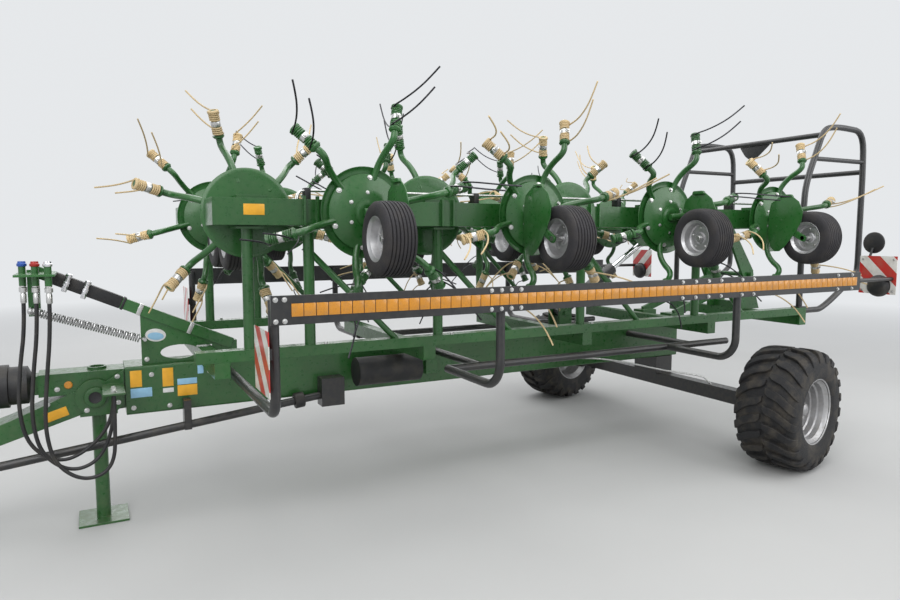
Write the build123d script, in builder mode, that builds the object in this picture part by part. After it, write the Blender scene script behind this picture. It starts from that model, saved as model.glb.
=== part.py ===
from build123d import *
import os
from math import cos, hypot, radians, sin, tan

# Towed hay tedder, folded for the road and parked on its stand. Millimetres.
# +X runs to the rear, -Y is the near (left) side, the ground is Z = 0, and the
# origin is on the ground under the middle of the whole machine.

os.makedirs("parts", exist_ok=True)

NEAR, FAR = -1, 1
SIDES = {"near": NEAR, "far": FAR}

# Overall
HALF_LENGTH = 3625          # link crossbar's front to rear guard's back, halved

# Main beam and drawbar
BEAM_W = 260
BEAM_TOP = 900
BEAM_BOTTOM = 620
BEAM_FRONT_X = -2300
BEAM_REAR_X = 2000
DRAWBAR_W = 200
DRAWBAR_FRONT_X = -3440
DRAWBAR_TIP_TOP = 540
DRAWBAR_TIP_BOTTOM = 420
DRAWBAR_HEEL_BOTTOM = 660

# Parking stand
STAND_X = -2440
STAND_R = 38
STAND_FIT = 0.05
STAND_TOP = 830
FOOT_W = 260
FOOT_T = 12

# Link crossbar: category 2 pins on an 825 mm spread
YAW_X = -3500
LINK_SPREAD = 825
LINK_PIN_R = 14
LINK_PIN_LENGTH = 85
CROSSBAR_Z = 480
CROSSBAR_H = 90

# Cradle that the folded rotor rows lie on
RAIL_Y = 685
CROSS_X = (-1900, -700, 500, 1700, 2780)
CROSS_D = 80
RAIL_W = 80
RAIL_H = 60
CROSS_H = 85
RAIL_BOTTOM = BEAM_TOP + CROSS_H
RAIL_TOP = RAIL_BOTTOM + RAIL_H
RAIL_FRONT_X = -1990
RAIL_REAR_X = 2860
POST_R = 30
SADDLE_T = 12
SADDLE_GAP = 6

# Rotor rows: an outer beam with rotors that face outward, and behind it the
# inner beam, folded back against it, with rotors that face the centreline
ROTOR_PITCH = 1090
OUTER_COUNT = 4
INNER_COUNT = 3
OUTER_FIRST_X = -1130
INNER_FIRST_X = OUTER_FIRST_X - ROTOR_PITCH / 2
HUB_Z = 1770
ROW_W = 120
ROW_H = 138
INNER_BEAM_Y = 560          # face of the inner beam nearest the centreline
ROW_GAP = 10
OUTER_BEAM_Y = INNER_BEAM_Y + ROW_W + ROW_GAP
ROW_FRONT_X = -1900
OUTER_REAR_X = 2600
INNER_REAR_X = 1150
INNER_DISC_Y = 540
OUTER_DISC_Y = 900

# One rotor, in its own frame: axis along local Z, tines towards +Z
DISC_R = 245
DISC_T = 8
FACE_R = 205
HUB_R = 62
HUB_FRONT = 58
HUB_BORE = 27
ARM_R = 17
ARM_SIDES = 6
ARMS = 6
COIL_R = 31
COIL_START = 455
COIL_END = 640
FINGER_W = 9
TIP_RADIUS = 748
TIP_REACH = 415

# Rotor wheel and the plate beside it
STUB_R = 25
SMALL_R = 200
SMALL_W = 165
SMALL_RIM_R = 112
SMALL_REACH = 335
SMALL_DROP = 140
SMALL_AXLE_R = 15
PLATE_OFFSET = 104
PLATE_T = 6

# Rear axle, steered, its wheels turned as they were parked
AXLE_X = 1860
AXLE_Z = 430
AXLE_SIZE = 100
KINGPIN_Y = 980
KINGPIN_R = 25
BOSS_R = 55
WHEEL_OFFSET = 300
TYRE_R = 430
TYRE_W = 420
TYRE_RIM_R = 215
LUG_H = 26
LUGS = 22
LUG_WIDE = 62
SPINDLE_R = 30
STEER_ARM = 200
PARKED_TURN = 12

# Lift of the rotor carrier
LIFT_X = 2760
LIFT_Z = 1300
LIFT_PIN_R = 20
BARREL_FOOT = (850, 1040)
ROD_EYE = (1700, 1590)
EYE_R = 34
BARREL_R = 48
ROD_R = 25

# Side guards
GUARD_Y = 1390
GUARD_T = 20
GUARD_LOW = 1255
GUARD_HIGH = 1385
GUARD_FRONT_X = -1700
GUARD_REAR_X = 2460
GUARD_TUBE_R = 24
GUARD_RAIL_Y = 780
GUARD_RAIL_Z = 845
STRIP_H = 62
STRIP_T = 4


def box(x0, x1, y0, y1, z0, z1):
    """A block between two corners, added to the open part."""
    with Locations(((x0 + x1) / 2, (y0 + y1) / 2, (z0 + z1) / 2)):
        Box(abs(x1 - x0), abs(y1 - y0), abs(z1 - z0))


def strut(start, end, width, depth, wide_along=(0, 1, 0)):
    """A straight rectangular bar from start to end, added to the open part."""
    run = Vector(*end) - Vector(*start)
    with BuildSketch(Plane(origin=start, x_dir=wide_along, z_dir=run)) as section:
        Rectangle(width, depth)
    extrude(section.sketch, amount=run.length)


def rod(start, end, radius, wide_along=(0, 1, 0)):
    """A straight round bar from start to end, added to the open part."""
    run = Vector(*end) - Vector(*start)
    with BuildSketch(Plane(origin=start, x_dir=wide_along, z_dir=run)) as section:
        Circle(radius)
    extrude(section.sketch, amount=run.length)


def bent_tube(points, radius, bend):
    """A round tube through points with one bend radius, added to the open part."""
    with BuildLine() as path:
        FilletPolyline(*points, radius=bend)
    with BuildSketch(Plane(origin=path.line @ 0, z_dir=path.line % 0)) as section:
        Circle(radius)
    sweep(section.sketch, path=path.line)


def finish(builder, node):
    """Labels the piece and writes it under its node name."""
    builder.part.label = node
    export_step(builder.part, f"parts/{node}.step")


# Main beam: a long box section with closed ends

with BuildPart() as main_beam:
    box(BEAM_FRONT_X, BEAM_REAR_X, -BEAM_W / 2, BEAM_W / 2, BEAM_BOTTOM, BEAM_TOP)
    fillet(main_beam.edges().filter_by(Axis.X), 14)
    box(-420, -330, -BEAM_W / 2 - 46, -BEAM_W / 2 + 10, 690, 800)
finish(main_beam, "main_beam")

# Drawbar: tapers down to the yaw bearing, with the stand's sleeve through it

SHELF_X = (-2420, -2310)
SHELF_REACH = 400
SHELF_Z = 800
SHELF_T = 10
SLEEVE_R = 50
SLEEVE_BOTTOM = 636
YAW_BOSS_R = 57
YAW_PIN_R = 22
BELL_X = (-2930, -2760)
BELL_Z = 825
HEAD_FRONT_X = -2730        # box that goes on from the beam, over the sloping drawbar
HEAD_W = 180
HEAD_BOTTOM = 763
HEAD_TOP = 886
CHEEK_T = 18
CHEEK_R = 100
CHEEK_PIN = (-2455, 743)
CHEEK = ((-2306, 884), (-2306, 690), (-2356, 644), (-2512, 644), (-2540, 700), (-2455, 790))

with BuildPart() as drawbar:
    with BuildSketch(Plane.XZ):
        Polygon(
            (BEAM_FRONT_X, DRAWBAR_HEEL_BOTTOM + 150),
            (BEAM_FRONT_X, DRAWBAR_HEEL_BOTTOM),
            (-2530, DRAWBAR_HEEL_BOTTOM - 15),
            (-3250, DRAWBAR_TIP_BOTTOM),
            (DRAWBAR_FRONT_X, DRAWBAR_TIP_BOTTOM),
            (DRAWBAR_FRONT_X, DRAWBAR_TIP_TOP),
            (-3200, DRAWBAR_TIP_TOP),
            (-2870, 650),
            (-2480, DRAWBAR_HEEL_BOTTOM + 150),
            align=None,
        )
    extrude(amount=DRAWBAR_W / 2, both=True)
    box(HEAD_FRONT_X, BEAM_FRONT_X, -HEAD_W / 2, HEAD_W / 2, HEAD_BOTTOM, HEAD_TOP)
    for side in SIDES.values():
        with BuildSketch(Plane.XZ.offset(-side * (DRAWBAR_W + CHEEK_T) / 2)):
            Polygon(*CHEEK, align=None)
            with Locations((CHEEK_PIN[0], CHEEK_PIN[1])):
                Circle(CHEEK_R)
        extrude(amount=CHEEK_T / 2, both=True)
    cheek_y = DRAWBAR_W / 2 + CHEEK_T
    rod((CHEEK_PIN[0], -cheek_y - 14, CHEEK_PIN[1]), (CHEEK_PIN[0], cheek_y + 14, CHEEK_PIN[1]), 42, (1, 0, 0))
    box(*SHELF_X, -SHELF_REACH, -DRAWBAR_W / 2, SHELF_Z, SHELF_Z + SHELF_T)
    box(BELL_X[1], HEAD_FRONT_X, -60, 60, HEAD_BOTTOM + 10, HEAD_TOP - 10)
    with Locations((STAND_X, 0, SLEEVE_BOTTOM)):
        Cylinder(SLEEVE_R, BEAM_TOP - SLEEVE_BOTTOM, align=(Align.CENTER, Align.CENTER, Align.MIN))
    with Locations((STAND_X, 0, SLEEVE_BOTTOM)):
        Box(190, DRAWBAR_W + 2 * CHEEK_T, 14, align=(Align.CENTER, Align.CENTER, Align.MIN))
    with Locations((YAW_X, 0, DRAWBAR_TIP_BOTTOM)):
        Cylinder(YAW_BOSS_R, 120, align=(Align.CENTER, Align.CENTER, Align.MIN))
    neck_half = YAW_BOSS_R - 12
    box(YAW_X + 30, DRAWBAR_FRONT_X + 30, -neck_half, neck_half, DRAWBAR_TIP_BOTTOM + 8, DRAWBAR_TIP_TOP - 8)
    with Locations((STAND_X, 0, 0)):
        Cylinder(STAND_R + STAND_FIT, 1200, align=(Align.CENTER, Align.CENTER, Align.MIN), mode=Mode.SUBTRACT)
    with Locations((YAW_X, 0, 0)):
        Cylinder(YAW_PIN_R + STAND_FIT, 1000, align=(Align.CENTER, Align.CENTER, Align.MIN), mode=Mode.SUBTRACT)
finish(drawbar, "drawbar")

# Link crossbar: yoke round the yaw bearing, and the two link pins

with BuildPart() as crossbar:
    yoke_y = 55
    front_x = -HALF_LENGTH
    low_z = CROSSBAR_Z - CROSSBAR_H / 2
    boss_low = DRAWBAR_TIP_BOTTOM
    boss_high = boss_low + 120
    half_spread = LINK_SPREAD / 2
    box(front_x, front_x + 50, -half_spread, half_spread, low_z, low_z + CROSSBAR_H)
    for z in (boss_low - 30, boss_high + 6):
        box(front_x, YAW_X, -yoke_y, yoke_y, z, z + 24)
        rod((YAW_X, 0, z), (YAW_X, 0, z + 24), yoke_y)
    box(front_x, front_x + 50, -yoke_y, yoke_y, boss_low - 30, boss_high + 30)
    rod((YAW_X, 0, boss_low - 30), (YAW_X, 0, boss_high + 30), YAW_PIN_R)
    for side in SIDES.values():
        pin_x = front_x + 25
        shoulder = side * half_spread
        rod((pin_x, shoulder, CROSSBAR_Z), (pin_x, shoulder + side * LINK_PIN_LENGTH, CROSSBAR_Z), LINK_PIN_R, (1, 0, 0))
finish(crossbar, "link_crossbar")

# Parking stand: a round leg with a turned-up foot plate

with BuildPart() as stand:
    with Locations((STAND_X, 0, 0)):
        Box(FOOT_W, FOOT_W, FOOT_T, align=(Align.CENTER, Align.CENTER, Align.MIN))
        Cylinder(STAND_R, STAND_TOP, align=(Align.CENTER, Align.CENTER, Align.MIN))
finish(stand, "parking_stand")

# Hose holder: a sloping arm on a foot, with couplers in a row at its top

HOLDER_FOOT = (-1700, 990)
HOLDER_HEAD = (-2710, 1455)
HOLDER_Y = -70
COUPLER_Z = 1390
COUPLER_X = (-2760, -2700, -2640)
HOSE_Y = (-250, -300, -350)
SPRING_Y = -150
SPRING_FACE_Y = -120
SPRING_FRONT = (-2734, 1246)
SPRING_REAR = (-2190, 1055)
SPRING_R = 25
GUSSET_T = 20
GUSSET_FACE_Y = -85
GUSSET = ((-2206, BEAM_TOP), (-2206, 1220), (-1790, 1030), (-1740, 975), (-1740, BEAM_TOP))
GUSSET_HOLE = (-2000, 962)

with BuildPart() as hose_holder:
    box(-1790, -1640, -120, -20, BEAM_TOP, BEAM_TOP + 12)
    strut((HOLDER_FOOT[0], HOLDER_Y, HOLDER_FOOT[1]), (HOLDER_HEAD[0], HOLDER_Y, HOLDER_HEAD[1]), 60, 62)
    box(-1760, -1670, -90, -50, BEAM_TOP + 6, 1010)
    box(-2790, -2610, -385, -60, 1440, 1452)
    box(SPRING_FRONT[0] - 16, SPRING_FRONT[0] + 40, SPRING_FACE_Y, -80, 1215, 1465)
    with BuildSketch(Plane.XZ.offset(-GUSSET_FACE_Y - GUSSET_T)):
        Polygon(*GUSSET, align=None)
        with Locations(GUSSET_HOLE):
            Ellipse(105, 42, mode=Mode.SUBTRACT)
        with Locations((CROSS_X[0] + CROSS_D / 2, RAIL_BOTTOM - 45)):
            Rectangle(CROSS_D + 12, 104, mode=Mode.SUBTRACT)
    extrude(amount=GUSSET_T)
    for x, y in zip(COUPLER_X, HOSE_Y):
        rod((x, y, COUPLER_Z), (x, y, 1500), 17)
finish(hose_holder, "hose_holder")

# Spring beside the drawbar, from a plate on the arm to a post on the beam

with BuildPart() as holder_spring:
    front = (SPRING_FRONT[0], SPRING_Y, SPRING_FRONT[1])
    rear = (SPRING_REAR[0], SPRING_Y, SPRING_REAR[1])
    rod(front, rear, SPRING_R)
    for (x, z), face_y in ((SPRING_FRONT, SPRING_FACE_Y), (SPRING_REAR, GUSSET_FACE_Y)):
        rod((x, SPRING_Y - 12, z), (x, face_y, z), 15, (1, 0, 0))
finish(holder_spring, "holder_spring")

# Cradle: cross members on the beam, and two rails with posts under the rotor rows

POST_X = (-1710, -1380, -585, 505, 1595)
BRACE_RUN = 520
BRACE_R = 18
POST_TOP = HUB_Z - ROW_H / 2 - SADDLE_GAP

with BuildPart() as cross_members:
    for x in CROSS_X:
        box(x, x + CROSS_D, -RAIL_Y - RAIL_W / 2, RAIL_Y + RAIL_W / 2, BEAM_TOP, RAIL_BOTTOM)
finish(cross_members, "cross_members")

with BuildPart() as cradle:
    for side in SIDES.values():
        rail = side * RAIL_Y
        box(RAIL_FRONT_X, RAIL_REAR_X, rail - RAIL_W / 2, rail + RAIL_W / 2, RAIL_BOTTOM, RAIL_TOP)
        for x in POST_X:
            rod((x, rail, RAIL_TOP - 5), (x, rail, POST_TOP - SADDLE_T), POST_R)
            box(x - 70, x + 70, rail - 90, rail + 90, POST_TOP - SADDLE_T, POST_TOP)
        for x in POST_X[1:]:
            rod((x + BRACE_RUN, rail, RAIL_TOP - 10), (x, rail, POST_TOP - 130), BRACE_R)
finish(cradle, "cradle_rails")

# Rear frame: two uprights that carry the lift pivot, with a stay ahead of each

UPRIGHT_Y = (170, 195)
STAY_FOOT_X = 1900

with BuildPart() as rear_frame:
    for side in SIDES.values():
        inner, outer = (side * y for y in UPRIGHT_Y)
        with BuildSketch(Plane.XZ.offset(-max(inner, outer))):
            Polygon(
                (CROSS_X[-1] - 60, RAIL_BOTTOM),
                (RAIL_REAR_X + 90, RAIL_BOTTOM),
                (LIFT_X + 70, LIFT_Z),
                (LIFT_X - 70, LIFT_Z),
                align=None,
            )
            with Locations((LIFT_X, LIFT_Z)):
                Circle(70)
        extrude(amount=abs(outer - inner))
        mid_y = side * sum(UPRIGHT_Y) / 2
        strut((STAY_FOOT_X, mid_y, RAIL_BOTTOM), (LIFT_X - 40, mid_y, LIFT_Z - 40), 25, 60)
        box(STAY_FOOT_X - 70, STAY_FOOT_X + 80, side * 100, side * 222, BEAM_TOP, RAIL_BOTTOM + 10)
    rod((LIFT_X, -260, LIFT_Z), (LIFT_X, 260, LIFT_Z), LIFT_PIN_R, (1, 0, 0))
    box(CROSS_X[-1] + 10, CROSS_X[-1] + 60, -170, 170, RAIL_BOTTOM, RAIL_BOTTOM + 60)
finish(rear_frame, "rear_frame")

# Rear axle beam with a pedestal under the main beam and a kingpin boss at each end

BOSS_Z = (380, 480)
YOKE_T = 24
YOKE_GAP = 6

with BuildPart() as axle_beam:
    half = AXLE_SIZE / 2
    box(AXLE_X - half, AXLE_X + half, -KINGPIN_Y, KINGPIN_Y, BOSS_Z[0], BOSS_Z[1])
    box(AXLE_X - 90, AXLE_X + 90, -BEAM_W / 2, BEAM_W / 2, BOSS_Z[1] - 10, BEAM_BOTTOM)
    for side in SIDES.values():
        with Locations((AXLE_X, side * KINGPIN_Y, sum(BOSS_Z) / 2)):
            Cylinder(BOSS_R, BOSS_Z[1] - BOSS_Z[0])
            Cylinder(KINGPIN_R + STAND_FIT, 300, mode=Mode.SUBTRACT)
finish(axle_beam, "axle_beam")

# Knuckles: a yoke round the boss, kingpin, spindle and steering arm, turned as parked

yoke_low = BOSS_Z[0] - YOKE_GAP
yoke_high = BOSS_Z[1] + YOKE_GAP
WEB_Y = (66, 86)
SPINDLE_END = 330

for name, side in SIDES.items():
    with BuildPart() as knuckle:
        for z in (yoke_low - YOKE_T, yoke_high):
            box(-52, 52, -side * 52, side * WEB_Y[1], z, z + YOKE_T)
        box(-52, 52, side * WEB_Y[0], side * WEB_Y[1], yoke_low - YOKE_T, yoke_high + YOKE_T)
        rod((0, 0, yoke_low - YOKE_T), (0, 0, yoke_high + YOKE_T), KINGPIN_R)
        rod((0, side * WEB_Y[0], AXLE_Z), (0, side * SPINDLE_END, AXLE_Z), SPINDLE_R, (1, 0, 0))
        box(30, STEER_ARM + 25, -side * 25, side * 25, yoke_low - YOKE_T, yoke_low)
    turned = knuckle.part.rotate(Axis.Z, PARKED_TURN)
    knuckle.part = turned.moved(Location((AXLE_X, side * KINGPIN_Y, 0)))
    finish(knuckle, f"knuckle_{name}")

# Tie rod, just under the two steering arms

turn = radians(PARKED_TURN)
tie_x = AXLE_X + STEER_ARM * cos(turn)
tie_y = STEER_ARM * sin(turn)
TIE_Z = yoke_low - YOKE_T - 30
TIE_R = 18

with BuildPart() as tie_rod:
    rod((tie_x, tie_y - KINGPIN_Y, TIE_Z), (tie_x, tie_y + KINGPIN_Y, TIE_Z), TIE_R, (1, 0, 0))
    for side in SIDES.values():
        rod((tie_x, tie_y + side * KINGPIN_Y, TIE_Z - 22), (tie_x, tie_y + side * KINGPIN_Y, TIE_Z + 24), 28)
finish(tie_rod, "tie_rod")

# Big wheels: a flotation tyre with curved lugs on a dished rim

LUG_ROW = (
    # start and end across the tread, turn about the axle in degrees, from the middle out
    (10, 80, 0),
    (80, 150, 6),
    (150, 196, 14),
)

for name, side in SIDES.items():
    with BuildPart() as wheel:
        half = TYRE_W / 2
        crown = TYRE_R - LUG_H
        lug_top = (TYRE_R**2 - (LUG_WIDE / 2) ** 2) ** 0.5
        with BuildSketch(Plane.XZ):
            Polygon(
                (SPINDLE_R + STAND_FIT, -40),
                (SPINDLE_R + STAND_FIT, 60),
                (90, 60),
                (110, 20),
                (190, 40),
                (TYRE_RIM_R, half - 30),
                (TYRE_RIM_R + 40, half - 6),
                (crown - 60, half),
                (crown - 14, half - 34),
                (crown, half - 90),
                (crown, 90 - half),
                (crown - 14, 34 - half),
                (crown - 60, -half),
                (TYRE_RIM_R + 40, 6 - half),
                (TYRE_RIM_R, 30 - half),
                (150, -40),
                align=None,
            )
        revolve(axis=Axis.Z)
        with BuildPart(mode=Mode.PRIVATE) as lugs:
            for hand in (-1, 1):
                for inner, outer, angle in LUG_ROW:
                    shift = angle + (0 if hand > 0 else 180 / LUGS)
                    drop = 22 if outer > 150 else 0
                    place = Plane.XY.rotated((0, 0, shift))
                    with BuildSketch(place.offset(hand * (inner + outer) / 2)):
                        with Locations((lug_top - 24 - drop, 0)):
                            Rectangle(48, LUG_WIDE)
                    extrude(amount=(outer - inner) / 2 + 2, both=True)
        for k in range(LUGS):
            add(lugs.part.rotate(Axis.Z, 360 * k / LUGS))
    upright = wheel.part.rotate(Axis.X, 90 if side == NEAR else -90)
    offset = upright.moved(Location((0, side * WHEEL_OFFSET, AXLE_Z)))
    wheel.part = offset.rotate(Axis.Z, PARKED_TURN).moved(Location((AXLE_X, side * KINGPIN_Y, 0)))
    finish(wheel, f"wheel_{name}")

# Side guards: a flat bar on bent tubes, a long tube behind it, and lugs for the boards

GUARD_ARM_X = (-560, 1230)
GUARD_FOOT_X = (-340, 1450)
GUARD_POST_X = -1740
BOARD_FRONT_X = -1790
BOARD_REAR_X = 2905
BOARD_FRONT_Y = (1215, 1495)
BOARD_REAR_Y = (1130, 1410)
LUG_Z = (1100, 1150)
BOARD_ARM_R = 15

with BuildPart() as side_guards:
    for side in SIDES.values():
        bar_y = side * GUARD_Y
        face_y = side * (GUARD_Y + GUARD_T)
        box(GUARD_FRONT_X - 60, GUARD_REAR_X, bar_y, face_y, GUARD_LOW, GUARD_HIGH)
        tube_y = bar_y - side * (GUARD_TUBE_R - 2)
        for x in GUARD_ARM_X:
            bent_tube(
                [(x, tube_y, GUARD_HIGH - 20), (x, tube_y, GUARD_RAIL_Z), (x, side * (GUARD_RAIL_Y - 10), GUARD_RAIL_Z)],
                GUARD_TUBE_R,
                140,
            )
        bent_tube(
            [
                (GUARD_POST_X, tube_y, GUARD_HIGH - 20),
                (GUARD_POST_X, tube_y, GUARD_RAIL_Z),
                (GUARD_POST_X, side * BEAM_W / 2, GUARD_RAIL_Z),
            ],
            GUARD_TUBE_R,
            70,
        )
        rod((GUARD_ARM_X[0], side * GUARD_RAIL_Y, GUARD_RAIL_Z), (1840, side * GUARD_RAIL_Y, GUARD_RAIL_Z), GUARD_TUBE_R)
        for x in GUARD_FOOT_X:
            rod((x, side * GUARD_RAIL_Y, GUARD_RAIL_Z), (x, side * BEAM_W / 2, GUARD_RAIL_Z), GUARD_TUBE_R, (1, 0, 0))
        box(BOARD_FRONT_X, GUARD_POST_X, tube_y - side * 20, tube_y + side * 20, *LUG_Z)
        arm_y = bar_y - side * (BOARD_ARM_R - 1)
        rod((GUARD_REAR_X - 80, arm_y, 1320), (BOARD_REAR_X, arm_y, 1320), BOARD_ARM_R)
finish(side_guards, "side_guards")

# Reflector strips on the guards' outer faces, in lengths as they are sold

STRIPS = 8
STRIP_GAP = 5
strip_front = GUARD_FRONT_X + 30
strip_pitch = (GUARD_REAR_X - 40 - strip_front) / STRIPS
strip_z = (GUARD_LOW + GUARD_HIGH) / 2

with BuildPart() as reflectors:
    for side in SIDES.values():
        face_y = side * (GUARD_Y + GUARD_T)
        for k in range(STRIPS):
            x = strip_front + k * strip_pitch
            box(x, x + strip_pitch - STRIP_GAP, face_y, face_y + side * STRIP_T, strip_z - STRIP_H / 2, strip_z + STRIP_H / 2)
finish(reflectors, "reflector_strips")

# Warning boards at the four corners, square across the machine

BOARD_T = 4
BOARD_H = 290
BOARD_FRONT_Z = 950
BOARD_REAR_Z = 1200

with BuildPart() as boards:
    for side in SIDES.values():
        inner, outer = (side * y for y in BOARD_FRONT_Y)
        box(BOARD_FRONT_X - BOARD_T, BOARD_FRONT_X, inner, outer, BOARD_FRONT_Z, BOARD_FRONT_Z + BOARD_H)
        inner, outer = (side * y for y in BOARD_REAR_Y)
        box(BOARD_REAR_X, BOARD_REAR_X + BOARD_T, inner, outer, BOARD_REAR_Z, BOARD_REAR_Z + BOARD_H)
finish(boards, "warning_boards")

# Tail lamps: a round housing on each rear board, and a round disc on a short stem

LAMP_Y = 1268
LAMP_Z = 1265
LAMP_R = 46
LAMP_D = 55
DISC_X = 2965
DISC_Y = 1190
DISC_Z = 1590

with BuildPart() as tail_lamps:
    for side in SIDES.values():
        back = BOARD_REAR_X + BOARD_T
        rod((back, side * LAMP_Y, LAMP_Z), (back + LAMP_D, side * LAMP_Y, LAMP_Z), LAMP_R)
        box(back, back + 12, side * (DISC_Y - 12), side * (DISC_Y + 12), BOARD_REAR_Z + 250, BOARD_REAR_Z + 275)
        strut((back + 6, side * DISC_Y, BOARD_REAR_Z + 262), (DISC_X, side * DISC_Y, DISC_Z - 40), 16, 10)
        rod((DISC_X, side * DISC_Y, DISC_Z), (DISC_X + 12, side * DISC_Y, DISC_Z), 52)
finish(tail_lamps, "tail_lamps")

# Rear tubular guard: two hoops on the rails' ends, joined by two bars

HOOP_R = 25
HOOP_TOP = 2560
HOOP_LEG_X = 2820

with BuildPart() as rear_guard:
    back_x = HALF_LENGTH - HOOP_R
    for side in SIDES.values():
        y = side * RAIL_Y
        bent_tube(
            [
                (HOOP_LEG_X, y, RAIL_TOP),
                (HOOP_LEG_X, y, HOOP_TOP),
                (back_x, y, HOOP_TOP),
                (back_x, y, 1330),
                (RAIL_REAR_X + 200, y, RAIL_BOTTOM + RAIL_H / 2),
                (RAIL_REAR_X, y, RAIL_BOTTOM + RAIL_H / 2),
            ],
            HOOP_R,
            [190, 190, 190, 150],
        )
    rod((HOOP_LEG_X, -RAIL_Y, 2300), (HOOP_LEG_X, RAIL_Y, 2300), HOOP_R - 4, (1, 0, 0))
    rod((back_x, -RAIL_Y, 2200), (back_x, RAIL_Y, 2200), HOOP_R - 4, (1, 0, 0))
finish(rear_guard, "rear_guard")

# Drive shaft tube beside the main beam, with its gearbox; the guard bell on the drawbar

SHAFT_Y = -178
SHAFT_FRONT = (-3300, 390)
SHAFT_REAR = (-1180, 625)
SHAFT_R = 24
SPLINE_R = 17.45
SPLINE_LENGTH = 76

with BuildPart() as drive_shaft:
    front = (SHAFT_FRONT[0], SHAFT_Y, SHAFT_FRONT[1])
    rear = (SHAFT_REAR[0], SHAFT_Y, SHAFT_REAR[1])
    rod(front, rear, SHAFT_R)
    ahead = (Vector(*front) - Vector(*rear)).normalized()
    rod(front, tuple(Vector(*front) + ahead * SPLINE_LENGTH), SPLINE_R)
    box(-1180, -1030, -BEAM_W / 2 - 100, -BEAM_W / 2, 560, 740)
    box(-2000, -1960, SHAFT_Y - 34, -BEAM_W / 2, 515, 690)
finish(drive_shaft, "drive_shaft")

with BuildPart() as shaft_bell:
    with BuildSketch(Plane.XY):
        Polygon(
            (18, 0), (118, 0), (118, 60), (104, 64), (104, 150), (60, 170), (18, 170),
            align=None,
        )
    revolve(axis=Axis.Y)
    turned = shaft_bell.part.rotate(Axis.Z, -90)
    shaft_bell.part = turned.moved(Location((BELL_X[0], 0, BELL_Z)))
finish(shaft_bell, "shaft_bell")

# Document tube on the beam's near side

TUBE_X = (-960, -520)
TUBE_Y = -250
TUBE_Z = 770
TUBE_R = 92

with BuildPart() as document_tube:
    rod((TUBE_X[0], TUBE_Y, TUBE_Z), (TUBE_X[1], TUBE_Y, TUBE_Z), TUBE_R)
    for x in (TUBE_X[0] + 60, TUBE_X[1] - 100):
        box(x, x + 40, TUBE_Y, -BEAM_W / 2, TUBE_Z - 30, TUBE_Z + 30)
finish(document_tube, "document_tube")

# Lift cylinder: barrel in a clevis on the beam, rod with an open eye at the carrier

reach = (ROD_EYE[0] - BARREL_FOOT[0], ROD_EYE[1] - BARREL_FOOT[1])
cylinder_length = hypot(*reach)
CYLINDER_PIN_R = 18
BARREL_BORE_START = 250
BARREL_END = 620


def along(distance):
    """A point on the cylinder's line, measured from the barrel's foot."""
    share = distance / cylinder_length
    return (BARREL_FOOT[0] + reach[0] * share, 0, BARREL_FOOT[1] + reach[1] * share)


with BuildPart() as lift_clevis:
    for side in SIDES.values():
        box(BARREL_FOOT[0] - 60, BARREL_FOOT[0] + 60, side * 54, side * 74, BEAM_TOP, BARREL_FOOT[1] + 36)
    rod((BARREL_FOOT[0], -88, BARREL_FOOT[1]), (BARREL_FOOT[0], 88, BARREL_FOOT[1]), CYLINDER_PIN_R, (1, 0, 0))
finish(lift_clevis, "lift_clevis")

with BuildPart() as lift_barrel:
    rod((BARREL_FOOT[0], -46, BARREL_FOOT[1]), (BARREL_FOOT[0], 46, BARREL_FOOT[1]), EYE_R, (1, 0, 0))
    rod(along(EYE_R - 8), along(BARREL_END), BARREL_R)
    with BuildSketch(Plane(origin=along(BARREL_BORE_START), x_dir=(0, 1, 0), z_dir=(reach[0], 0, reach[1]))):
        Circle(ROD_R + STAND_FIT)
    extrude(amount=BARREL_END, mode=Mode.SUBTRACT)
    with Locations((BARREL_FOOT[0], 0, BARREL_FOOT[1])):
        Cylinder(CYLINDER_PIN_R + STAND_FIT, 200, rotation=(90, 0, 0), mode=Mode.SUBTRACT)
finish(lift_barrel, "lift_barrel")

with BuildPart() as lift_rod:
    rod(along(BARREL_BORE_START + 20), along(cylinder_length - EYE_R + 6), ROD_R)
    rod((ROD_EYE[0], -27, ROD_EYE[1]), (ROD_EYE[0], 27, ROD_EYE[1]), EYE_R + 6, (1, 0, 0))
    with Locations((ROD_EYE[0], 0, ROD_EYE[1])):
        Cylinder(CYLINDER_PIN_R + 6, 200, rotation=(90, 0, 0), mode=Mode.SUBTRACT)
finish(lift_rod, "lift_rod")

# Rotor carrier: two cross members and two side members between the rows, lugs for
# the rod's eye and two brackets down to the lift pivot

CARRIER_X = (1500, 2450)
CARRIER_D = 100
ROW_LOW = HUB_Z - ROW_H / 2
ROW_HIGH = HUB_Z + ROW_H / 2

with BuildPart() as carrier:
    for x in CARRIER_X:
        box(x, x + CARRIER_D, -OUTER_BEAM_Y, OUTER_BEAM_Y, ROW_LOW, ROW_HIGH)
    for side in SIDES.values():
        box(CARRIER_X[0] + 20, CARRIER_X[1] + 20, side * 150, side * 240, ROW_LOW + 12, ROW_HIGH - 12)
        with BuildSketch(Plane.XZ.offset(-side * 41 - 9)):
            Polygon((1505, ROW_LOW + 10), (1595, ROW_LOW + 10), (1745, 1625), (1745, 1555), (1655, 1555), (1505, 1660), align=None)
        extrude(amount=18)
        with BuildSketch(Plane.XZ.offset(-side * 212.5 - 12.5)):
            Polygon((2455, ROW_LOW + 10), (2545, ROW_LOW + 10), (2820, 1330), (2700, 1262), align=None)
            with Locations((LIFT_X, LIFT_Z)):
                Circle(62)
                Circle(LIFT_PIN_R + STAND_FIT, mode=Mode.SUBTRACT)
        extrude(amount=25)
    rod((ROD_EYE[0], -50, ROD_EYE[1]), (ROD_EYE[0], 50, ROD_EYE[1]), CYLINDER_PIN_R, (1, 0, 0))
finish(carrier, "rotor_carrier")

# Rotor rows: stations, and which way each rotor faces

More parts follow.
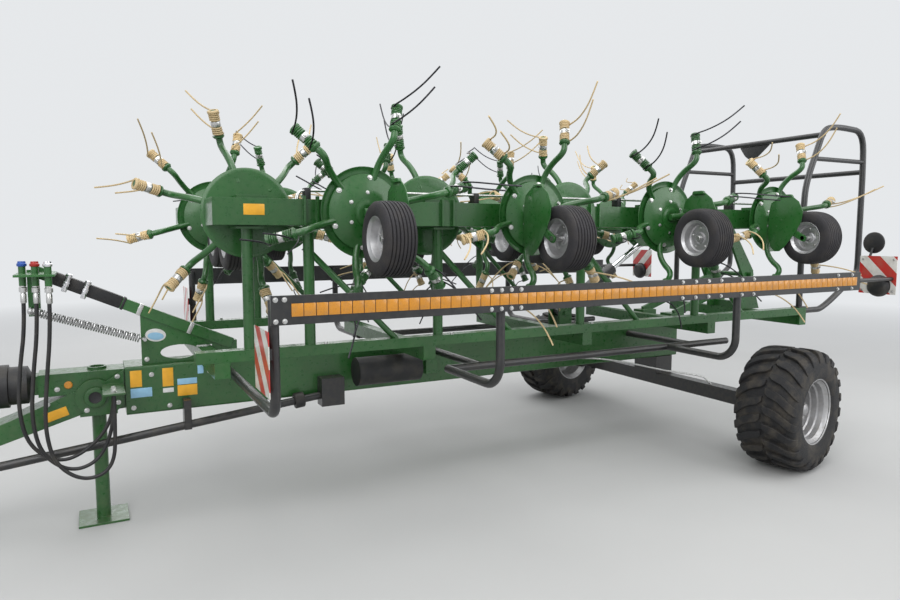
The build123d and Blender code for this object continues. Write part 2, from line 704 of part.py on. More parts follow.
OUTER_X = [OUTER_FIRST_X + k * ROTOR_PITCH for k in range(OUTER_COUNT)]
INNER_X = [INNER_FIRST_X + k * ROTOR_PITCH for k in range(INNER_COUNT)]
COUPLING_X = (-1400, -585, 505, 1595)
GEARBOX_R = 78
GEARBOX_GAP = 6

with BuildPart() as row_beams:
    for side in SIDES.values():
        inner_far = side * (INNER_BEAM_Y + ROW_W)
        outer_far = side * (OUTER_BEAM_Y + ROW_W)
        box(ROW_FRONT_X, INNER_REAR_X, side * INNER_BEAM_Y, inner_far, ROW_LOW, ROW_HIGH)
        box(ROW_FRONT_X, OUTER_REAR_X, side * OUTER_BEAM_Y, outer_far, ROW_LOW, ROW_HIGH)
        for x in (ROW_FRONT_X, INNER_REAR_X - 20):
            box(x, x + 20, side * INNER_BEAM_Y, outer_far, ROW_LOW, ROW_HIGH)
        for x in COUPLING_X:
            for edge in (x - 42, x + 30):
                box(edge, edge + 12, outer_far - side * 10, outer_far + side * 22, ROW_LOW, ROW_HIGH + 16)
        for x in OUTER_X:
            rod((x, outer_far - side * 10, HUB_Z), (x, side * (OUTER_DISC_Y - DISC_T - GEARBOX_GAP), HUB_Z), GEARBOX_R, (1, 0, 0))
            box(x - 80, x + 80, side * OUTER_BEAM_Y, outer_far, ROW_HIGH - 5, ROW_HIGH + 22)
        for x in INNER_X:
            box(x - 80, x + 80, side * INNER_BEAM_Y, inner_far, ROW_HIGH - 5, ROW_HIGH + 22)
finish(row_beams, "row_beams")

# Wheel forks: a stub axle through each rotor, a crank to the rotor wheel's axle, and
# the drop-shaped plate beside the wheel. Even rotors carry the plate behind the wheel.

SKIRT = (
    # reach from the disc, height from the hub
    (68, 70),
    (110, 140),
    (290, 168),
    (345, 40),
    (190, -325),
    (120, -250),
    (68, -90),
)

with BuildPart() as forks:
    for side in SIDES.values():
        rows = ((OUTER_X, side * OUTER_DISC_Y, side, DISC_T + GEARBOX_GAP), (INNER_X, side * INNER_DISC_Y, -side, INNER_BEAM_Y - INNER_DISC_Y))
        for stations, disc_y, facing, set_back in rows:
            for index, x in enumerate(stations):
                hand = 1 if index % 2 == 0 else -1
                plate = x + hand * PLATE_OFFSET
                wheel_y = disc_y + facing * SMALL_REACH
                wheel_z = HUB_Z - SMALL_DROP
                rod((x, disc_y - facing * set_back, HUB_Z), (x, disc_y + facing * 92, HUB_Z), STUB_R, (1, 0, 0))
                box(x - hand * 34, plate, disc_y + facing * 66, disc_y + facing * 92, HUB_Z - 30, HUB_Z + 30)
                strut(
                    (plate - hand * 7, disc_y + facing * 78, HUB_Z - 12),
                    (plate - hand * 7, wheel_y, wheel_z),
                    14,
                    44,
                    (1, 0, 0),
                )
                rod((plate, wheel_y, wheel_z), (x - hand * 90, wheel_y, wheel_z), SMALL_AXLE_R)
                with BuildSketch(Plane.YZ.offset(plate if hand > 0 else plate - PLATE_T)):
                    Polygon(*[(disc_y + facing * a, HUB_Z + h) for a, h in SKIRT], align=None)
                extrude(amount=PLATE_T)
finish(forks, "wheel_forks")

# Rotors. One arm lies along local +X: a bent tube, the coil barrel round its end and
# two fingers that trail behind the way the rotor turns.

ARM_PATH = ((150, 22), (330, 32), (440, 78), (655, 186))
FINGERS = (
    # start radius, start reach, tip radius, tip reach
    (478, 92, 602, 400),
    (632, 176, TIP_RADIUS, TIP_REACH),
)
TRAIL = 55
ARM_PHASE = 15


def rotor_pattern(hand):
    """A rotor in its own frame, its fingers trailing to one side or the other."""
    with BuildPart() as pattern:
        with BuildSketch(Plane.XY.offset(-DISC_T)):
            Circle(DISC_R)
        extrude(amount=DISC_T)
        with BuildSketch(Plane.XZ):
            Polygon((0, -DISC_T), (HUB_R, -DISC_T), (HUB_R, HUB_FRONT), (0, HUB_FRONT), align=None)
            Polygon((40, 36), (FACE_R, 14), (FACE_R, 22), (90, 50), (40, 50), align=None)
        revolve(axis=Axis.Z)
        with Locations((0, 0, 0)):
            Cylinder(HUB_BORE, 300, mode=Mode.SUBTRACT)
        with PolarLocations(0, ARMS, start_angle=ARM_PHASE):
            add(arm_unit(hand))
    return pattern.part


def arm_unit(hand):
    """One arm with its coils and fingers, along +X from the rotor's hub."""
    with BuildPart() as unit:
        with BuildLine() as path:
            Polyline(*[(radius, 0, reach) for radius, reach in ARM_PATH])
        with BuildSketch(Plane(origin=path.line @ 0, x_dir=(0, 1, 0), z_dir=path.line % 0)):
            RegularPolygon(ARM_R, ARM_SIDES)
        sweep(path=path.line, transition=Transition.RIGHT)
        (r0, a0), (r1, a1) = ARM_PATH[-2:]
        slope = (a1 - a0) / (r1 - r0)
        ends = [(r, 0, a0 + slope * (r - r0)) for r in (COIL_START, COIL_END)]
        run = Vector(*ends[1]) - Vector(*ends[0])
        with BuildSketch(Plane(origin=ends[0], x_dir=(0, 1, 0), z_dir=run)):
            RegularPolygon(COIL_R, ARM_SIDES)
        extrude(amount=run.length)
        for start_r, start_a, tip_r, tip_a in FINGERS:
            strut((start_r, hand * 18, start_a), (tip_r, -hand * TRAIL, tip_a), FINGER_W, FINGER_W)
    return unit.part


patterns = {hand: rotor_pattern(hand) for hand in (-1, 1)}


def place_row(row, side_name, side, stations, disc_y, facing):
    """Writes one row's rotors and rotor wheels, neighbours with opposite hands."""
    for index, x in enumerate(stations):
        hand = 1 if index % 2 == 0 else -1
        seat = Plane(origin=(x, disc_y, HUB_Z), x_dir=(1, 0, 0), z_dir=(0, facing, 0))
        with BuildPart() as rotor:
            add(patterns[hand].moved(seat.location))
        finish(rotor, f"rotor_{side_name}_{row}_{index + 1}")
        centre = (x, disc_y + facing * SMALL_REACH, HUB_Z - SMALL_DROP)
        with BuildPart() as small_wheel:
            with BuildSketch(Plane(origin=centre, x_dir=(0, 0, 1), z_dir=(0, -1, 0))):
                Polygon(
                    (SMALL_AXLE_R + 1, -40),
                    (SMALL_AXLE_R + 1, 40),
                    (SMALL_RIM_R, 28),
                    (SMALL_RIM_R + 10, SMALL_W / 2),
                    (SMALL_R - 25, SMALL_W / 2),
                    (SMALL_R, SMALL_W / 2 - 22),
                    (SMALL_R, 22 - SMALL_W / 2),
                    (SMALL_R - 25, -SMALL_W / 2),
                    (SMALL_RIM_R + 10, -SMALL_W / 2),
                    (SMALL_RIM_R, -28),
                    align=None,
                )
            revolve(axis=Axis(centre, (1, 0, 0)))
        finish(small_wheel, f"small_wheel_{side_name}_{row}_{index + 1}")


for side_name, side in SIDES.items():
    place_row("outer", side_name, side, OUTER_X, side * OUTER_DISC_Y, side)
    place_row("inner", side_name, side, INNER_X, side * INNER_DISC_Y, -side)

# Hydraulic hoses: each hangs from its coupler in a loop and ends under the shelf

HOSE_R = 10
HOSE_ROUTE = (
    # back from the coupler's x, sideways, height
    (0, 0, COUPLER_Z),
    (0, 0, 1190),
    (-36, 4, 955),
    (-52, -8, 730),
    (-14, 5, 535),
    (120, -4, 430),
    (262, 6, 480),
)
SHELF_ROUTE = ((-2365, 0, 640), (-2365, 0, SHELF_Z))


def hose_radii(points):
    """The largest bend each corner has room for: 0.45 of the shorter run, over the half turn."""
    radii = []
    for before, corner, after in zip(points, points[1:], points[2:]):
        run_in = Vector(*corner) - Vector(*before)
        run_out = Vector(*after) - Vector(*corner)
        half_turn = radians(run_in.get_angle(run_out)) / 2
        radii.append(0.45 * min(run_in.length, run_out.length) / tan(half_turn))
    return radii


for index, (x, y) in enumerate(zip(COUPLER_X, HOSE_Y)):
    dip = 45 * index
    route = [(x + dx, y + dy, z if z > 1000 else z - dip) for dx, dy, z in HOSE_ROUTE]
    route += [(sx, y + sy, z) for sx, sy, z in SHELF_ROUTE]
    radii = hose_radii(route)
    with BuildPart() as hose:
        with BuildLine() as path:
            FilletPolyline(*route, radius=radii)
        with BuildSketch(Plane(origin=path.line @ 0, z_dir=path.line % 0)):
            Circle(HOSE_R)
        sweep(path=path.line)
    finish(hose, f"hose_{index + 1}")
    print(f"hose_{index + 1}: length {path.wire().length:.0f}, least radius {min(radii):.0f}, most {max(radii):.0f}")
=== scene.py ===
# %% [markdown]
# # Dressing a folded hay tedder
# The machine is already there as plain solids, each riding on the body that moves it.
# This lesson adds what the solids leave out: painted steel, ribbed tyres, wound spring
# tines, hoses and bolts. The frame is loaded first, because every new piece is placed
# in the same metres, with +X to the rear and -Y on the near side.

# %% Load the frame
import bpy
from math import cos, pi, radians, sin
from mathutils import Matrix, Vector


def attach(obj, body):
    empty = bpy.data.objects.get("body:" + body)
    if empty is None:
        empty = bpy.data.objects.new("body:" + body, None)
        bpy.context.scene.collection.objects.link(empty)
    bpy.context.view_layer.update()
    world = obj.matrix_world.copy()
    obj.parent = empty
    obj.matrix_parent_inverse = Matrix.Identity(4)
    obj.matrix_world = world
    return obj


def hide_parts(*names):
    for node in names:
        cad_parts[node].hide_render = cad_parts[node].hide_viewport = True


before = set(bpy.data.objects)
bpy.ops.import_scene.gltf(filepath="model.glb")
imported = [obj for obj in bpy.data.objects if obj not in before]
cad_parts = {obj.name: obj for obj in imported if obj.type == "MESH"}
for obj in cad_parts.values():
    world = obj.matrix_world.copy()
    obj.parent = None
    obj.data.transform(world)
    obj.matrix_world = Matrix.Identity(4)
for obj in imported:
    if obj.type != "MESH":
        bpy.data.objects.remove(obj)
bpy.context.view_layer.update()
SIDES = {"near": -1, "far": 1}
scene = bpy.context.scene

# %% [markdown]
# ## Camera, light and floor
# The camera stands where the photographer stood: beside the drawbar at eye height,
# turned towards the rear. A wide lens gives the strong narrowing of the rows. The light
# is soft, as under a bright overcast sky, with one broad lamp a little stronger than the
# others, so that round things turn from light to dark.

# %% Place the camera
camera_data = bpy.data.cameras.new("camera")
CAMERA_AT = (-2.44, -4.38, 1.65)
PITCH_DOWN, TURN_TO_REAR = 5.44, 27.7
camera_data.lens = 27.28
camera_data.sensor_width = 36
camera_data.clip_end = 200
camera = bpy.data.objects.new("camera", camera_data)
camera.location = CAMERA_AT
camera.rotation_euler = (radians(90 - PITCH_DOWN), 0, radians(-TURN_TO_REAR))
scene.collection.objects.link(camera)
scene.camera = camera
scene.view_settings.view_transform = "Standard"
print("camera at", tuple(camera.location))

# %% Add the lamps
LAMPS = (
    # name, place, aim, size, watts
    ("sky_left", (-7.0, -7.5, 7.5), (0.0, -0.4, 1.2), 11.0, 800),
    ("sky_right", (6.5, -7.0, 5.5), (0.6, 0.0, 1.2), 9.5, 430),
    ("sky_back", (1.0, 8.0, 6.5), (0.0, 0.0, 1.4), 10.0, 400),
    ("sky_top", (0.0, -0.5, 9.0), (0.0, 0.0, 0.0), 10.0, 430),
)
for name, place, aim, size, watts in LAMPS:
    data = bpy.data.lights.new(name, "AREA")
    data.shape = "DISK"
    data.size = size
    data.energy = watts
    lamp = bpy.data.objects.new(name, data)
    lamp.location = place
    lamp.rotation_euler = (Vector(aim) - Vector(place)).to_track_quat("-Z", "Y").to_euler()
    scene.collection.objects.link(lamp)
print("lamps", len(LAMPS))

# %% [markdown]
# A pale backdrop must not light the object, so the world asks what kind of ray looks at
# it. Rays from the camera, from gloss and through glass see a pale sky, while all others
# get a weaker light that only fills the shadows.

# %% Set the world
FILL_COLOUR, FILL_STRENGTH = (0.86, 0.9, 0.96, 1), 0.42
SKY_COLOUR, SKY_STRENGTH = (0.86, 0.88, 0.9, 1), 0.92
world = bpy.data.worlds.new("overcast")
world.use_nodes = True
scene.world = world
sky = world.node_tree.nodes
sky_links = world.node_tree.links
sky.clear()
path = sky.new("ShaderNodeLightPath")
looking = path.outputs["Is Camera Ray"]
for ray in ("Is Glossy Ray", "Is Transmission Ray"):
    either = sky.new("ShaderNodeMath")
    either.operation = "MAXIMUM"
    sky_links.new(looking, either.inputs[0])
    sky_links.new(path.outputs[ray], either.inputs[1])
    looking = either.outputs[0]
choice = sky.new("ShaderNodeMixShader")
sky_links.new(looking, choice.inputs[0])
for k, (colour, strength) in enumerate(((FILL_COLOUR, FILL_STRENGTH), (SKY_COLOUR, SKY_STRENGTH))):
    backdrop = sky.new("ShaderNodeBackground")
    backdrop.inputs["Color"].default_value = colour
    backdrop.inputs["Strength"].default_value = strength
    sky_links.new(backdrop.outputs[0], choice.inputs[1 + k])
out = sky.new("ShaderNodeOutputWorld")
sky_links.new(choice.outputs[0], out.inputs["Surface"])
print("world", world.name)

# %% [markdown]
# ## Working with operators
# An operator acts on whatever is selected, and loading the frame leaves its nodes
# selected, so each new piece starts by letting everything go. A few helpers hold the
# steps that every piece needs: start a mesh from a primitive, pick faces by their place,
# move the finished mesh to its place with nothing left on the object, and give it a body.

# %% Helpers for meshes
def let_go():
    """Deselects every object and leaves none active."""
    for obj in list(bpy.context.selected_objects):
        obj.select_set(False)
    bpy.context.view_layer.objects.active = None


def only(obj):
    """Selects one object and makes it active."""
    let_go()
    obj.select_set(True)
    bpy.context.view_layer.objects.active = obj
    return obj


def named(obj, name):
    """Gives an object and its mesh the same name."""
    obj.name = name
    obj.data.name = name
    return obj


def settle(obj, matrix=None):
    """Moves the place into the mesh, so that the object is left at the origin."""
    if matrix is not None:
        obj.matrix_world = matrix @ obj.matrix_world
    only(obj)
    bpy.ops.object.transform_apply(location=True, rotation=True, scale=True)
    return obj


def take_all():
    """Selects everything in the piece that is open."""
    bpy.ops.mesh.select_all(action="SELECT")


def edit(obj):
    """Opens a piece for editing with everything selected in it."""
    only(obj)
    bpy.ops.object.mode_set(mode="EDIT")
    take_all()


def done():
    """Leaves edit mode."""
    bpy.ops.object.mode_set(mode="OBJECT")


def face_outwards():
    """Turns every face of the open piece outwards and leaves edit mode."""
    take_all()
    bpy.ops.mesh.normals_make_consistent(inside=False)
    done()


def pick_faces(obj, test):
    """Selects only the faces whose centre and normal pass the test."""
    bpy.ops.mesh.select_all(action="DESELECT")
    bpy.ops.object.mode_set(mode="OBJECT")
    for face in obj.data.polygons:
        face.select = bool(test(face.center, face.normal))
    bpy.ops.object.mode_set(mode="EDIT")


def smooth(obj, degrees=35):
    """Smooth shading that keeps edges sharper than the angle."""
    only(obj)
    bpy.ops.object.shade_smooth_by_angle(angle=radians(degrees))
    return obj


def joined(pieces):
    """Joins pieces into one mesh."""
    let_go()
    for piece in pieces:
        piece.select_set(True)
    bpy.context.view_layer.objects.active = pieces[0]
    bpy.ops.object.join()
    return bpy.context.object


def copied(obj, matrix):
    """A copy with its own mesh, moved by the matrix."""
    twin = obj.copy()
    twin.data = obj.data.copy()
    scene.collection.objects.link(twin)
    twin.data.transform(matrix)
    if matrix.determinant() < 0:
        twin.data.flip_normals()
    return twin


def dress(name, obj, material, slot, *nodes, body="chassis"):
    """Gives a finished piece its name, material, the nodes it stands for and its body; the slot is not used.
    """
    named(obj, name)
    if material is not None:
        obj.data.materials.clear()
        obj.data.materials.append(material)
    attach(obj, body)
    if nodes:
        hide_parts(*nodes)
    return obj


def cover(obj, material):
    """Leaves one material on a mesh, whatever it had before."""
    obj.data.materials.clear()
    obj.data.materials.append(material)
    for face in obj.data.polygons:
        face.material_index = 0
    return obj


def axes(x, y, z):
    """The matrix that lays a piece's own axes along three directions."""
    return Matrix((x, y, z)).transposed().to_4x4()


def frame_to(origin, z_axis, x_axis=(1, 0, 0)):
    """The matrix from a piece's own frame to its place on the machine."""
    z = Vector(z_axis).normalized()
    x = Vector(x_axis)
    x = (x - z * x.dot(z)).normalized()
    return Matrix.Translation(origin) @ axes(x, z.cross(x), z)


print("helpers ready")

# %% [markdown]
# Turned parts, such as rims, dishes and caps, are all made in one way, as on a lathe: a
# single point is extruded along half of the outline, and that line is spun once round
# the axis. The outline's ends lie on the axis or meet each other, so the result closes.

# %% Helper for turned parts
def turned(profile, steps=48, close=False, bevel=0.0):
    """Spins a profile of (radius, height) about Z; close joins its last point to its first."""
    let_go()
    radius, height = profile[0]
    bpy.ops.mesh.primitive_plane_add(size=0.001, location=(0, 0, 0))
    obj = bpy.context.object
    edit(obj)
    bpy.ops.mesh.merge(type="CENTER")
    bpy.ops.transform.translate(value=(radius, 0, height))
    points = list(profile[1:]) + ([profile[0]] if close else [])
    for next_radius, next_height in points:
        step = (next_radius - radius, 0, next_height - height)
        bpy.ops.mesh.extrude_region_move(TRANSFORM_OT_translate={"value": step})
        radius, height = next_radius, next_height
    take_all()
    bpy.ops.mesh.spin(steps=steps, angle=2 * pi, center=(0, 0, 0), axis=(0, 0, 1))
    take_all()
    bpy.ops.mesh.remove_doubles(threshold=0.00005)
    face_outwards()
    if bevel:
        add_bevel(obj, bevel)
    return smooth(obj)


def add_bevel(obj, width, segments=2, degrees=30):
    """Rounds the sharp edges and applies the modifier."""
    only(obj)
    modifier = obj.modifiers.new("bevel", "BEVEL")
    modifier.width = width
    modifier.segments = segments
    modifier.limit_method = "ANGLE"
    modifier.angle_limit = radians(degrees)
    bpy.ops.object.modifier_apply(modifier=modifier.name)
    return obj


def block(low, high, bevel=0.004):
    """A block between two corners with rounded edges."""
    let_go()
    bpy.ops.mesh.primitive_cube_add(size=1, location=[(a + b) / 2 for a, b in zip(low, high)])
    obj = bpy.context.object
    obj.scale = [abs(b - a) for a, b in zip(low, high)]
    settle(obj)
    return smooth(add_bevel(obj, bevel))


def run_spline(curve, points, radius, steps, round_steps):
    """Lays one smooth capped spline through control points in a curve."""
    spline = curve.splines.new("NURBS")
    spline.points.add(len(points) - 1)
    for point, place in zip(spline.points, points):
        point.co = (*place, 1)
    spline.order_u = 3
    spline.use_endpoint_u = True
    curve.resolution_u = steps
    curve.bevel_depth = radius
    curve.bevel_resolution = round_steps
    curve.use_fill_caps = True


def tube(points, radius, sides=12, steps=6):
    """A round bar along a smooth spline, made a mesh."""
    let_go()
    bpy.ops.curve.primitive_nurbs_path_add()
    obj = bpy.context.object
    obj.data.splines.clear()
    run_spline(obj.data, points, radius, steps, (sides - 4) // 2)
    only(obj)
    bpy.ops.object.convert(target="MESH")
    return smooth(obj, 50)


print("lathe ready")

# %% [markdown]
# ## Finishes
# Every finish is built from a few nodes on Object coordinates, which are the machine's
# own metres. A broad noise shifts the colour a little from place to place, a fine one
# gives the surface its grain, and dust gathers where a surface looks up or lies low.
# Paint also gets lighter edges, partly worn paint and partly a painted edge highlight: the Bevel node's
# rounded normal differs from the true one only close to an edge, and that difference says where the colour is
# lightened.

# %% Node helpers
DUST = (0.2, 0.165, 0.115)


class Shader:
    """A material under construction, with short calls for the nodes used here."""

    def __init__(self, name, roughness=0.5, metallic=0.0, coat=0.0):
        self.material = bpy.data.materials.new(name)
        self.material.use_nodes = True
        self.nodes = self.material.node_tree.nodes
        self.links = self.material.node_tree.links
        self.surface = self.nodes["Principled BSDF"]
        settings = {"Roughness": roughness, "Metallic": metallic, "Coat Weight": coat, "Coat Roughness": 0.12}
        for socket, value in settings.items():
            self.surface.inputs[socket].default_value = value
        self.place = self.nodes.new("ShaderNodeTexCoord").outputs["Object"]

    def put(self, socket, value):
        """A number or colour is set on the socket, and an output is linked to it."""
        if isinstance(value, bpy.types.NodeSocket):
            self.links.new(value, socket)
        elif isinstance(value, (tuple, list)) and len(value) == 3 and len(socket.default_value) == 4:
            socket.default_value = (*value, 1)
        else:
            socket.default_value = value

    def add(self, kind, **sockets):
        """A new node with its inputs set or linked by name."""
        node = self.nodes.new(f"ShaderNode{kind}")
        for socket, value in sockets.items():
            self.put(node.inputs[socket], value)
        return node

    def math(self, operation, *values, clamp=False):
        node = self.add("Math")
        node.operation = operation
        node.use_clamp = clamp
        for socket, value in zip(node.inputs, values):
            self.put(socket, value)
        return node.outputs[0]

    def noise(self, scale, detail):
        return self.add("TexNoise", Scale=scale, Detail=detail, Vector=self.place).outputs["Fac"]

    def ramp(self, value, low, high, out_low=0.0, out_high=1.0):
        node = self.add("MapRange")
        for socket, number in zip(node.inputs, (value, low, high, out_low, out_high)):
            self.put(socket, number)
        return node.outputs["Result"]

    def mix(self, share, first, second):
        node = self.add("Mix", Factor=share)
        node.data_type = "RGBA"
        sockets = [s for s in node.inputs if s.type == "RGBA"]
        self.put(sockets[0], first)
        self.put(sockets[1], second)
        return [s for s in node.outputs if s.type == "RGBA"][0]

    def split(self, vector):
        return self.add("SeparateXYZ", Vector=vector).outputs

    def bump(self, height, strength, distance=0.001, normal=None):
        node = self.add("Bump", Strength=strength, Distance=distance, Height=height)
        if normal is not None:
            self.links.new(normal, node.inputs["Normal"])
        return node.outputs["Normal"]

    def dusty(self, base, noise, low, high, amount):
        """Lets dust show through a colour where a noise runs high."""
        return self.mix(self.math("MULTIPLY", self.ramp(noise, low, high), amount, clamp=True), base, DUST)

    def finish(self, colour, roughness=None, normal=None):
        self.put(self.surface.inputs["Base Color"], colour)
        if roughness is not None:
            self.put(self.surface.inputs["Roughness"], roughness)
        if normal is not None:
            self.links.new(normal, self.surface.inputs["Normal"])
        return self.material


print("node helpers ready")

# %% [markdown]
# Paint covers most of the machine, so it is one recipe with several colours. Dust is a
# pale grey-brown that lies on upward faces and thickens towards the ground.

# %% Painted steel
def paint(name, colour, roughness=0.30, dust=0.22, edge_wear_and_highlight=0.5, coat=0.3, edge=0.004, metallic=0.0):
    shader = Shader(name, metallic=metallic, coat=coat)
    broad = shader.noise(1.7, 5)
    fine = shader.noise(38, 6)
    grain = shader.noise(420, 2)
    geometry = shader.add("NewGeometry")
    up = shader.split(geometry.outputs["True Normal"])[2]
    height = shader.split(shader.place)[2]
    darker = tuple(c * 0.72 for c in colour)
    lighter = tuple(min(1, c * 1.16) for c in colour)
    base = shader.mix(shader.ramp(broad, 0.35, 0.65), darker, lighter)
    low = shader.ramp(height, 1.3, 0.0, 0.15, 0.75)
    lying = shader.ramp(up, 0.2, 1.0, 0.1, 0.8)
    film = shader.math("MULTIPLY", shader.math("ADD", low, lying), shader.ramp(fine, 0.42, 0.72, 0.12, 1.0))
    film = shader.math("MULTIPLY", film, dust, clamp=True)
    base = shader.mix(film, base, DUST)
    normal = None
    if edge:
        rounded = shader.add("Bevel", Radius=edge)
        rounded.samples = 4
        normal = rounded.outputs["Normal"]
        dot = shader.add("VectorMath")
        dot.operation = "DOT_PRODUCT"
        shader.links.new(normal, dot.inputs[0])
        shader.links.new(geometry.outputs["Normal"], dot.inputs[1])
        # Near the edges the paint is mixed to a lighter tint of its own colour: a painted edge highlight,
        # broken by the fine noise into patches like rubbed paint.
        edge_mask = shader.ramp(dot.outputs["Value"], 0.985, 0.9)
        lit_and_worn_edges = shader.math("MULTIPLY", edge_mask, shader.ramp(fine, 0.5, 0.62, 0.0, edge_wear_and_highlight), clamp=True)
        base = shader.mix(lit_and_worn_edges, base, tuple(min(1, c * 1.7 + 0.05) for c in colour))
    rough = shader.ramp(fine, 0.3, 0.75, roughness - 0.07, roughness + 0.16)
    rough = shader.math("ADD", rough, shader.math("MULTIPLY", film, 0.5), clamp=True)
    return shader.finish(base, rough, shader.bump(grain, 0.06, 0.0006, normal))


GREEN = (0.017, 0.108, 0.019)
green_paint = paint("green_paint", GREEN)
green_round = paint("green_paint_round", GREEN, edge=0)
cream_paint = paint("cream_coating", (0.66, 0.5, 0.27), roughness=0.5, dust=0.22, edge_wear_and_highlight=0.15, coat=0.0, edge=0)
black_paint = paint("black_paint", (0.012, 0.013, 0.015), roughness=0.36, dust=0.2, edge_wear_and_highlight=0.3)
black_round = paint("black_paint_round", (0.012, 0.013, 0.015), roughness=0.36, dust=0.2, edge=0)
rim_silver = paint("rim_silver", (0.5, 0.5, 0.51), roughness=0.34, dust=0.3, coat=0.2, edge=0, metallic=0.75)
print("paints", [m.name for m in bpy.data.materials if m.name.endswith(("paint", "round"))])

# %% [markdown]
# Bare metals are bright where they are clean and dull where dirt clings. Zinc plating
# shows a soft, cloudy sheen, and a hard chromed rod is almost a mirror.

# %% Bare metals
def metal(name, colour, roughness, cloud=0.12, scale=24, dirt=0.25):
    shader = Shader(name, metallic=1.0)
    cloudy = shader.noise(scale, 5)
    fine = shader.noise(220, 3)
    dirty = shader.math("MULTIPLY", shader.ramp(cloudy, 0.48, 0.75), dirt, clamp=True)
    base = shader.mix(dirty, colour, tuple(c * 0.25 for c in colour))
    rough = shader.ramp(cloudy, 0.3, 0.7, max(0.03, roughness - cloud), roughness + cloud)
    return shader.finish(base, rough, shader.bump(fine, 0.05, 0.0004))


zinc = metal("zinc_plate", (0.58, 0.58, 0.57), 0.34)
chrome = metal("hard_chrome", (0.76, 0.76, 0.78), 0.09, cloud=0.04, dirt=0.08)
spring_steel = metal("spring_steel", (0.5, 0.5, 0.5), 0.3, dirt=0.35)
dark_steel = metal("dark_spring_steel", (0.05, 0.05, 0.055), 0.42, dirt=0.5)
print("metals ready")

# %% [markdown]
# Rubber is never quite black: sidewalls fade to grey and the tread keeps the colour of
# the last field. Moulded plastic has a faint even texture and a wide soft highlight.

# %% Rubber and plastic
def rubber(name, colour, dust, roughness=0.72, grain_scale=160, grain=0.25):
    shader = Shader(name)
    broad = shader.noise(5, 6)
    fine = shader.noise(grain_scale, 4)
    base = shader.mix(shader.ramp(broad, 0.35, 0.7), colour, tuple(c * 1.8 for c in colour))
    base = shader.dusty(base, shader.noise(13, 8), 0.45, 0.72, dust)
    rough = shader.ramp(fine, 0.3, 0.7, roughness - 0.1, roughness + 0.14)
    return shader.finish(base, rough, shader.bump(fine, grain, 0.0008))


tyre_rubber = rubber("tyre_rubber", (0.008, 0.008, 0.009), 0.22)
small_rubber = rubber("ribbed_rubber", (0.014, 0.013, 0.015), 0.08)
hose_rubber = rubber("hose_rubber", (0.009, 0.009, 0.01), 0.1, roughness=0.42, grain=0.12)
black_plastic = rubber("black_plastic", (0.01, 0.01, 0.011), 0.14, roughness=0.5, grain_scale=520, grain=0.2)
print("rubbers ready")

# %% [markdown]
# The boards carry broad red and white bars that lean outwards on both sides. The bars
# come from the board's own coordinates: distance from the centreline plus height, cut
# into equal steps. The guards' strips are amber sheet with a fine net under the surface.

# %% Striped boards and amber sheet
BAR_PITCH = 0.198
NET_SCALE = 170


def striped(name):
    shader = Shader(name, roughness=0.3, coat=0.4)
    _, across, up = shader.split(shader.place)
    slant = shader.math("ADD", shader.math("ABSOLUTE", across), up)
    step = shader.math("FRACT", shader.math("DIVIDE", slant, BAR_PITCH))
    is_red = shader.math("GREATER_THAN", step, 0.5)
    base = shader.mix(is_red, (0.72, 0.7, 0.66), (0.52, 0.02, 0.018))
    base = shader.dusty(base, shader.noise(16, 6), 0.45, 0.75, 0.35)
    return shader.finish(base, None, shader.bump(shader.noise(700, 2), 0.08, 0.0004))


def amber_sheet(name, colour):
    shader = Shader(name, roughness=0.28, coat=0.5)
    net = shader.add("TexVoronoi", Scale=NET_SCALE, Randomness=0.1, Vector=shader.place)
    net.feature = "DISTANCE_TO_EDGE"
    line = shader.ramp(net.outputs["Distance"], 0.02, 0.09)
    broad = shader.ramp(shader.noise(7, 5), 0.35, 0.7)
    base = shader.mix(broad, tuple(c * 0.86 for c in colour), colour)
    base = shader.mix(line, tuple(c * 0.6 for c in colour), base)
    base = shader.dusty(base, shader.noise(30, 6), 0.5, 0.75, 0.25)
    return shader.finish(base, None, shader.bump(line, 0.1, 0.0005))


def plain_sheet(name, colour, roughness=0.4):
    shader = Shader(name, coat=0.2)
    cloud = shader.ramp(shader.noise(22, 5), 0.35, 0.7)
    base = shader.mix(cloud, tuple(c * 0.85 for c in colour), colour)
    rough = shader.ramp(cloud, 0, 1, roughness, roughness + 0.15)
    return shader.finish(base, rough, shader.bump(shader.noise(300, 2), 0.05))


board_bars = striped("striped_board")
amber = amber_sheet("amber_strip", (0.70, 0.28, 0.012))
red_lens = amber_sheet("red_lens", (0.35, 0.008, 0.006))
sticker_amber = plain_sheet("blank_sticker_amber", (0.85, 0.42, 0.02))
sticker_blue = plain_sheet("blank_sticker_blue", (0.3, 0.55, 0.75))
sticker_white = plain_sheet("blank_sticker_white", (0.75, 0.75, 0.73))
cap_blue = plain_sheet("coupler_blue", (0.02, 0.09, 0.4))
cap_red = plain_sheet("coupler_red", (0.42, 0.015, 0.01))
print("sheets ready")

# %% [markdown]
# Every solid gets a finish first. Those whose shape is already right keep it, and the
# others are replaced further down, where their own steps are.

# %% Finish the solids that stay
NODE_FINISH = {
    "axle_beam": black_paint, "knuckle_near": black_paint, "knuckle_far": black_paint,
    "tie_rod": black_round, "side_guards": black_paint, "rear_guard": black_round,
    "drive_shaft": black_paint, "shaft_bell": black_plastic, "document_tube": black_plastic,
    "lift_barrel": black_round, "lift_rod": chrome, "warning_boards": board_bars,
    "tail_lamps": black_plastic, "reflector_strips": amber, "holder_spring": spring_steel,
    "wheel_near": tyre_rubber, "wheel_far": tyre_rubber,
}
for node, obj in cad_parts.items():
    finish = NODE_FINISH.get(node, green_paint)
    if node.startswith("hose_") and node != "hose_holder":
        finish = hose_rubber
    if node.startswith("small_wheel"):
        finish = small_rubber
    cover(obj, finish)
print("finished", len(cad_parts), "solids")

